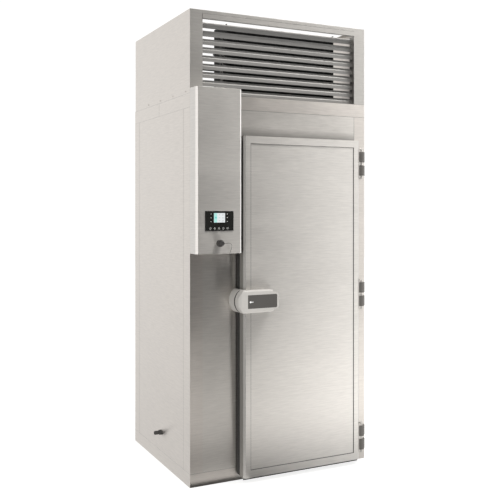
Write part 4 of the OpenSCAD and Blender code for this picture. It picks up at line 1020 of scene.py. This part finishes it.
coil_low, coil_high = corners("condenser_coil")
fin_pack("condenser_fins", coil_low + Vector((17, 6, 24)) * MM, coil_high - Vector((3, 6, 12)) * MM,
         0, 3 * MM, "black_coil")
evap_low, evap_high = corners("evaporator_coil")
evap_foot = Vector((evap_high.x, evap_low.y, evap_low.z))
fin_pack("evaporator_fins", evap_foot + Vector((-113, 3, 6)) * MM,
         evap_high - Vector((6, 3, 16)) * MM, 1, 4 * MM, "bare_coil")

# %% [markdown]
# ## Pipes
# Refrigerant pipes are soft copper, bent round a former, so each corner is an arc and never a
# point. The suction pipe is cold and wears a black foam sleeve that stops it dripping. A curve
# with a round bevel follows the corners, and is then made a mesh, because a rigid pipe is no free
# cord.

# %% Copper pipes and foam sleeve
def bent_route(places, radius, steps=8):
    """Points along straight runs whose corners are rounded by arcs of a radius."""
    places = [Vector(place) for place in places]
    route = [places[0]]
    for before, corner, after in zip(places, places[1:], places[2:]):
        into, out = (corner - before).normalized(), (after - corner).normalized()
        centre = corner + (out - into) * radius
        for step in range(steps + 1):
            a = step / steps * math.pi / 2
            route.append(centre + (into * math.sin(a) - out * math.cos(a)) * radius)
    return route + [places[-1]]


def pipe(places, bend, radius):
    """A tube through the places, bent to a radius at each corner."""
    pick(round_curve("pipe", bent_route(places, bend), radius, 5))
    bpy.ops.object.convert(target="MESH")
    return recalculate(bpy.context.object)


pipes_low, pipes_high = corners("refrigerant_pipes")
PIPE_R, LIQUID_R, SLEEVE_R = 11 * MM, 6 * MM, 15 * MM
SUCTION_X, LIQUID_X = -0.2755, -0.3125
PIPE_Y, MACHINE_Y = 0.1475, 0.1075
SUCTION_FOOT, LIQUID_FOOT = 1.894, 1.834
SUCTION_Z, LIQUID_Z = pipes_high.z - PIPE_R, 2.119
copper = joined([
    pipe([(pipes_low.x, PIPE_Y, SUCTION_FOOT), (SUCTION_X, PIPE_Y, SUCTION_FOOT),
          (SUCTION_X, PIPE_Y, SUCTION_Z), (SUCTION_X, MACHINE_Y, SUCTION_Z),
          (pipes_high.x, MACHINE_Y, SUCTION_Z)], 19 * MM, PIPE_R),
    pipe([(pipes_low.x, PIPE_Y, LIQUID_FOOT), (LIQUID_X, PIPE_Y, LIQUID_FOOT),
          (LIQUID_X, PIPE_Y, LIQUID_Z), (LIQUID_X, MACHINE_Y, LIQUID_Z),
          (hi("liquid_receiver").x - 124 * MM, MACHINE_Y, LIQUID_Z)], 16 * MM, LIQUID_R),
])
hand_over(copper, "copper_pipes", "cabinet", "copper")
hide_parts("refrigerant_pipes")
sleeve = pipe([
    (SUCTION_X, PIPE_Y, CEILING_TOP + 1 * MM), (SUCTION_X, PIPE_Y, SUCTION_Z),
    (SUCTION_X, MACHINE_Y, SUCTION_Z), (pipes_high.x - 40 * MM, MACHINE_Y, SUCTION_Z),
], 19.5 * MM, SLEEVE_R)
hand_over(sleeve, "foam_sleeve", "cabinet", "rubber_black")
print("pipes and sleeve ready")

# %% [markdown]
# The rows of tube in a coil are joined at its ends by return bends, half rings of tube. At the
# left end of the condenser they look out from behind the louvre as rows of small bright marks on
# black. One bend is a ring of which half is cut away. It is copied up both columns of the coil.

# %% Return bends
BEND_R, TUBE_R = 12.5 * MM, 4.6 * MM
TUBE_COLUMNS = (0.3, 0.7)


def return_bends(name, places, outward, slot, finish=None):
    """Half rings at several places that bulge outwards, with their tubes above each other."""
    bpy.ops.mesh.primitive_torus_add(major_radius=BEND_R, minor_radius=TUBE_R,
                                     major_segments=28, minor_segments=14)
    bend = bpy.context.object
    with editing(bend):
        bpy.ops.mesh.bisect(plane_co=(0, 0, 0), plane_no=(0, 1, 0), clear_inner=True, use_fill=True)
    bend.data.transform(Matrix.Rotation(math.radians(90), 4, "Y"))
    turn = Vector((0, 1, 0)).rotation_difference(Vector(outward)).to_matrix().to_4x4()
    bends = repeated(bend, [Matrix.Translation(place) @ turn for place in places])
    hand_over(recalculate(bends), name, "cabinet", slot, finish)


def rows_between(first, pitch, last):
    """Heights from the first one up, a pitch apart, that stay below the last."""
    return [first + pitch * k for k in range(int((last - first) / pitch) + 1)]


# The shroud is painted matt like its coil, so that nothing bright shows beside the bends.
paint(frame["nodes"]["condenser_shroud"], "black_coil")
coil_front, coil_rear = coil_low.y + 5 * MM, coil_high.y - 5 * MM
coil_rows = rows_between(coil_low.z + 51 * MM, 50 * MM, coil_high.z - 34 * MM)
return_bends("condenser_bends", [
    (coil_low.x + 14.5 * MM, coil_front + (coil_rear - coil_front) * part, z)
    for part in TUBE_COLUMNS for z in coil_rows
], (-1, 0, 0), "black_coil", "bend_black")
evap_rows = rows_between(evap_low.z + 45 * MM, 52 * MM, evap_high.z - 60 * MM)
return_bends("evaporator_bends", [
    (evap_high.x - 115 * MM + 110 * MM * part, evap_high.y, z)
    for part in TUBE_COLUMNS for z in evap_rows
], (0, 1, 0), "copper")
print(len(coil_rows), "rows in the condenser,", len(evap_rows), "in the evaporator")

# %% [markdown]
# ## Condensing unit
# The compressor is a welded steel can that stands on four rubber feet. A plastic cover hides its
# terminals, a bail of wire holds the cover, and a crankcase heater, a flat band, sits round the
# foot of the can. A weld runs round its middle.

# %% Compressor fittings
COMP_FOOT = Vector((0.1625, MACHINE_Y, lo("compressor").z))
COMP_R_MM = 110
FEET_MM = [(x, y) for x in (-75, 75) for y in (-75, 75)]
GROMMET = [(4, 0), (15, 0), (17, 4), (13, 7), (17, 10), (15, 13), (4, 13)]
HEATER = [(COMP_R_MM - 0.5, 0), (COMP_R_MM + 3, 1), (COMP_R_MM + 3, 17), (COMP_R_MM - 0.5, 18)]
WELD = [(COMP_R_MM + 2, -3), (COMP_R_MM + 5.5, -2), (COMP_R_MM + 5.5, 2), (COMP_R_MM + 2, 3)]


def from_foot(x_mm, y_mm, z_mm):
    """A place measured from the middle of the compressor's foot."""
    return COMP_FOOT + Vector((x_mm, y_mm, z_mm)) * MM


turned_trim("compressor_grommets", "rubber_black", GROMMET,
            [from_foot(x, y, 0) for x, y in FEET_MM], UP, 24)
screws("compressor_bolts", [from_foot(x, y, 16) for x, y in FEET_MM], UP, 15, 6)
turned_trim("crankcase_heater", "zinc_steel", HEATER, [from_foot(0, 0, 34)], UP, 64)
turned_trim("compressor_weld", "black_paint", WELD, [from_foot(0, 0, 163.5)], UP, 64)
cover = block(from_foot(-36, COMP_R_MM - 10, 79), from_foot(36, COMP_R_MM + 29.5, 161), 5 * MM, 3)
hand_over(cover, "terminal_cover", "cabinet", "gland_black")
BAIL = [(-38, COMP_R_MM - 8), (-38, COMP_R_MM + 31.2), (38, COMP_R_MM + 31.2), (38, COMP_R_MM - 8)]
bail = pipe([from_foot(x, y, 120) for x, y in BAIL], 5 * MM, 1.4 * MM)
hand_over(bail, "cover_bail", "cabinet", "hardware_steel")
print("compressor fittings ready")

# %% [markdown]
# The liquid receiver stores the refrigerant that the coils don't need at the moment. A fusible
# plug and a service valve sit on its dome. Two flat channels carry both machines, and each is
# bolted down.

# %% Receiver fittings and channels
RECEIVER_TOP = Vector((-0.0675, MACHINE_Y, hi("liquid_receiver").z))
PLUG = [(0, 0), (9, 0), (9, 8), (7, 10), (7, 15), (4, 18), (0, 18)]
VALVE_BODY = [(0, 0), (8, 0), (8, 14), (11, 15), (11, 27), (9, 29), (0, 29)]
VALVE_ARM = [(0, 0), (5, 0), (5, 16), (7.5, 17), (7.5, 26), (0, 26)]
STRAP = [(54.5, 0), (56.6, 0.4), (56.6, 13.6), (54.5, 14)]
STRAPS_DOWN_MM = (52, 118)
CHANNEL_BOLTS_MM = [(x, y) for x in (-300, 130) for y in (-75, 75)]
fittings = joined([
    turned(profile, RECEIVER_TOP + Vector(offset_mm) * MM, direction, sides)
    for profile, offset_mm, direction, sides in (
        (PLUG, (20, 0, -0.5), UP, 6), (VALVE_BODY, (-20, 0, -0.5), UP, 24),
        (VALVE_ARM, (-20, -5, 9), (0, -1, 0), 6))
])
hand_over(fittings, "receiver_valves", "cabinet", "hardware_steel")
turned_trim("receiver_straps", "zinc_steel", STRAP,
            [RECEIVER_TOP - Vector((0, 0, down)) * MM for down in STRAPS_DOWN_MM], UP, 48)
screws("channel_bolts", [from_foot(x, y, 0) for x, y in CHANNEL_BOLTS_MM], UP, 13, 5)
print("receiver and channels ready")

# %% [markdown]
# ## Chamber and small trim
# The cowl that carries the evaporator fans comes off for cleaning the coil, so it is screwed
# along its two upright edges.

# %% Screws in the chamber
cowl_low, cowl_high = corners("fan_panel")
COWL_ROWS = (0.12, 0.40, 0.62, 0.90, 1.20, 1.50, 1.86)
COWL_EDGE = 12 * MM
screws("cowl_screws", [
    (cowl_high.x, y, z) for y in (cowl_low.y + COWL_EDGE, cowl_high.y - COWL_EDGE)
    for z in COWL_ROWS
], (1, 0, 0))
print(2 * len(COWL_ROWS), "cowl screws")

# %% [markdown]
# The green knob inside lets a person who is shut in push the latch open. A steel rosette covers
# the hole in the liner round its rod. A ring like this is turned from the bar, with a soft outer
# edge.

# %% Rosette of the release knob
ROSETTE = [(17, 0), (37, 0), (38, 1.2), (36.5, 2.4), (17, 2.4)]
ROSETTE_SCREWS = 33.3 * MM / math.sqrt(2)
rosette_place = middle("release_knob")
rosette_place.y = hi("door_liner").y
turned_trim("release_rosette", "hardware_steel", ROSETTE, [rosette_place], (0, 1, 0), 48, "door")
screws("rosette_screws", [
    rosette_place + Vector((way * ROSETTE_SCREWS, 2.2 * MM, way * ROSETTE_SCREWS))
    for way in (1, -1)
], (0, 1, 0), 5, 1.6, "door")
print("rosette at", [round(v, 4) for v in rosette_place])

# %% [markdown]
# The union ring of the probe socket is turned by hand, so it is ribbed. One rib is a small bar
# with broken edges that stands on the ring, and 28 of them go round.

# %% Ribs of the socket ring
RIBS = 28
ring_low, ring_high = corners("socket_ring")
ring_centre = middle("socket_ring")
ring_centre.y = 0
ring_r = (ring_high.x - ring_low.x) / 2
rib = block((-0.7 * MM, ring_low.y + 2.5 * MM, ring_r - 0.8 * MM),
            (0.7 * MM, ring_high.y - 2.5 * MM, ring_r + 0.7 * MM), 0.3 * MM, 1)
ribs = repeated(rib, [
    Matrix.Translation(ring_centre) @ Matrix.Rotation(2 * math.pi * k / RIBS, 4, "Y")
    for k in range(RIBS)
])
hand_over(ribs, "socket_ring_ribs", "socket_ring", "socket_grey")
print(RIBS, "ribs")

# %% [markdown]
# A hose is pushed on the drain spigot. Two barbs, low cones that point outwards, hold it. The
# gland at the rear has a rubber seal that closes round the supply cable.

# %% Spigot barbs and gland seal
BARBS_MM = (9, 18)
GLAND_SEAL = [(7.2, 0), (9.4, 0), (9.8, 1.6), (8.6, 2.2), (7.2, 1.4)]
spigot_low, spigot_high = corners("drain_spigot")
spigot_middle = middle("drain_spigot")
spigot_r_mm = (spigot_high.z - spigot_low.z) / 2 / MM
barb = [(spigot_r_mm - 0.4, 0), (spigot_r_mm + 1.3, 0.4), (spigot_r_mm + 1.3, 1.4),
        (spigot_r_mm - 0.4, 6.5)]
turned_trim("spigot_barbs", "gland_black", barb, [
    (spigot_low.x + inward * MM, spigot_middle.y, spigot_middle.z) for inward in BARBS_MM
], (-1, 0, 0))
gland_middle = middle("cable_gland")
turned_trim("gland_seal", "rubber_black", GLAND_SEAL, [
    (hi("cable_gland").x - 2.4 * MM, gland_middle.y, gland_middle.z)
], (1, 0, 0))
print("spigot and gland ready")

# %% [markdown]
# The trolley guides are screwed through the walls from inside, in two rows at each side, with low
# heads that a trolley can't catch.

# %% Screws of the trolley guides
GUIDE_DEEP = 20 * MM
guides_low, guides_high = corners("trolley_guides")
GUIDE_ROWS = (guides_low.z + 30 * MM, guides_high.z - 30 * MM)
GUIDE_PLACES = (guides_low.y + 60 * MM, -0.11, 0.11, guides_high.y - 60 * MM)
for side, x, out in (("left", guides_low.x + GUIDE_DEEP, 1),
                     ("right", guides_high.x - GUIDE_DEEP, -1)):
    screws(side + "_guide_screws", [(x, y, z) for z in GUIDE_ROWS for y in GUIDE_PLACES],
           (out, 0, 0), 9, 1.4)
print("guide screws ready")

# %% [markdown]
# ## Studio
# The floor is plain and pale, and the surroundings are bright and soft like a white cyclorama.
# Steel shows what is round it, so the surroundings matter more than the lamps. The floor shines a
# little by itself, so that it stays white round the cabinet, and the steel does not mirror it.

# %% Floor
FLOOR_WIDE = 28.0
FLOOR_GREY, FLOOR_GLOW = (0.30, 0.30, 0.298, 1), 0.80
bpy.ops.mesh.primitive_plane_add(size=FLOOR_WIDE, location=(0, 0, 0))
floor = bpy.context.object
floor.name = "studio_floor"
floor.visible_glossy = False
floor_material = bpy.data.materials.new("studio_floor")
floor_material.use_nodes = True
feed(floor_material.node_tree, floor_material.node_tree.nodes["Principled BSDF"], {
    "Base Color": FLOOR_GREY, "Roughness": 0.9,
    "Emission Color": (1.0, 1.0, 0.995, 1), "Emission Strength": FLOOR_GLOW,
})
floor.data.materials.append(floor_material)
print("floor", FLOOR_WIDE, "m wide")

# %% [markdown]
# Behind the cabinet and to its left the surroundings are white. Straight ahead they are dark and
# grow bright towards the right, which gives the front its slope of tone. The directions are those
# of the room, so they stay put when the camera moves. The camera and the diffuse light see one
# plain white.

# %% Surroundings
AHEAD_GREY, RIGHT_WHITE, LEFT_WHITE, HIGH_WHITE = 0.012, 1.35, 1.6, 0.12
BACK_WHITE, BACK_FLOOR = 1.02, 0.60
FILL_WHITE = 1.05
# Where each change begins and ends, as a share of the direction's length along X, Y or Z.
RIGHT_EDGE, LEFT_EDGE, HIGH_EDGE = (0.42, 0.62), (-0.20, -0.75), (0.30, 0.80)
BACK_EDGE, LOW_EDGE = (-0.30, 0.20), (-0.05, -0.60)
world = bpy.data.worlds.new("studio_world")
bpy.context.scene.world = world
world.use_nodes = True
sky = world.node_tree
sky_place = add(sky, "ShaderNodeTexCoord").outputs["Generated"]
sky_way = add(sky, "ShaderNodeSeparateXYZ", {"Vector": sky_place}).outputs
sky_right = spread(sky, sky_way["X"], *RIGHT_EDGE, AHEAD_GREY, RIGHT_WHITE)
sky_left = spread(sky, sky_way["X"], *LEFT_EDGE, 0.0, LEFT_WHITE - AHEAD_GREY)
sky_high = spread(sky, sky_way["Z"], *HIGH_EDGE, 0.0, HIGH_WHITE)
sky_mirrored = add(sky, "ShaderNodeMix", {
    "Factor": spread(sky, sky_way["Y"], *BACK_EDGE),
    "A": sum_of(sky, (sky_right, 1.0), (sky_left, 1.0), (sky_high, 1.0)),
    "B": spread(sky, sky_way["Z"], *LOW_EDGE, BACK_WHITE, BACK_FLOOR),
}, data_type="FLOAT")
sky_ray = add(sky, "ShaderNodeLightPath").outputs
sky_plain = add(sky, "ShaderNodeMath", {
    0: sky_ray["Is Diffuse Ray"], 1: sky_ray["Is Camera Ray"],
}, operation="MAXIMUM")
sky_light = add(sky, "ShaderNodeMix", {
    "Factor": sky_plain.outputs["Value"], "A": sky_mirrored.outputs["Result"], "B": FILL_WHITE,
}, data_type="FLOAT")
feed(sky, sky.nodes["Background"], {
    "Strength": sky_light.outputs["Result"], "Color": (1.0, 0.995, 0.985, 1),
})
print("surroundings ready")

# %% [markdown]
# One large lamp hangs high at the right. Two low ones near the floor stand for light that a pale
# floor throws back up at the front and at the near corner. None of them is seen by the camera.

# %% Lamps
FACING_UP = (math.radians(180), 0, 0)


def soft_lamp(name, place, size, watts, turn=(0, 0, 0), warmth=(1.0, 0.98, 0.95)):
    """A rectangular lamp of a width and depth. With no turn it points straight down."""
    data = bpy.data.lights.new(name, "AREA")
    data.shape = "RECTANGLE"
    data.size, data.size_y = size
    data.energy = watts
    data.color = warmth
    lamp = placed(name, data)
    lamp.location = place
    lamp.rotation_euler = turn
    lamp.visible_camera = False


soft_lamp("overhead_strip", place=(3.2, -1.55, 7.0), size=(4.4, 1.0), watts=415)
soft_lamp("floor_bounce", place=(0.9, -1.34, 0.02), size=(2.7, 0.6), watts=12.0, turn=FACING_UP)
soft_lamp("corner_bounce", place=(-0.42, -0.53, 0.01), size=(0.40, 0.10), watts=0.13,
          turn=FACING_UP)
bpy.context.scene.view_settings.view_transform = "Standard"
print("lamps ready")
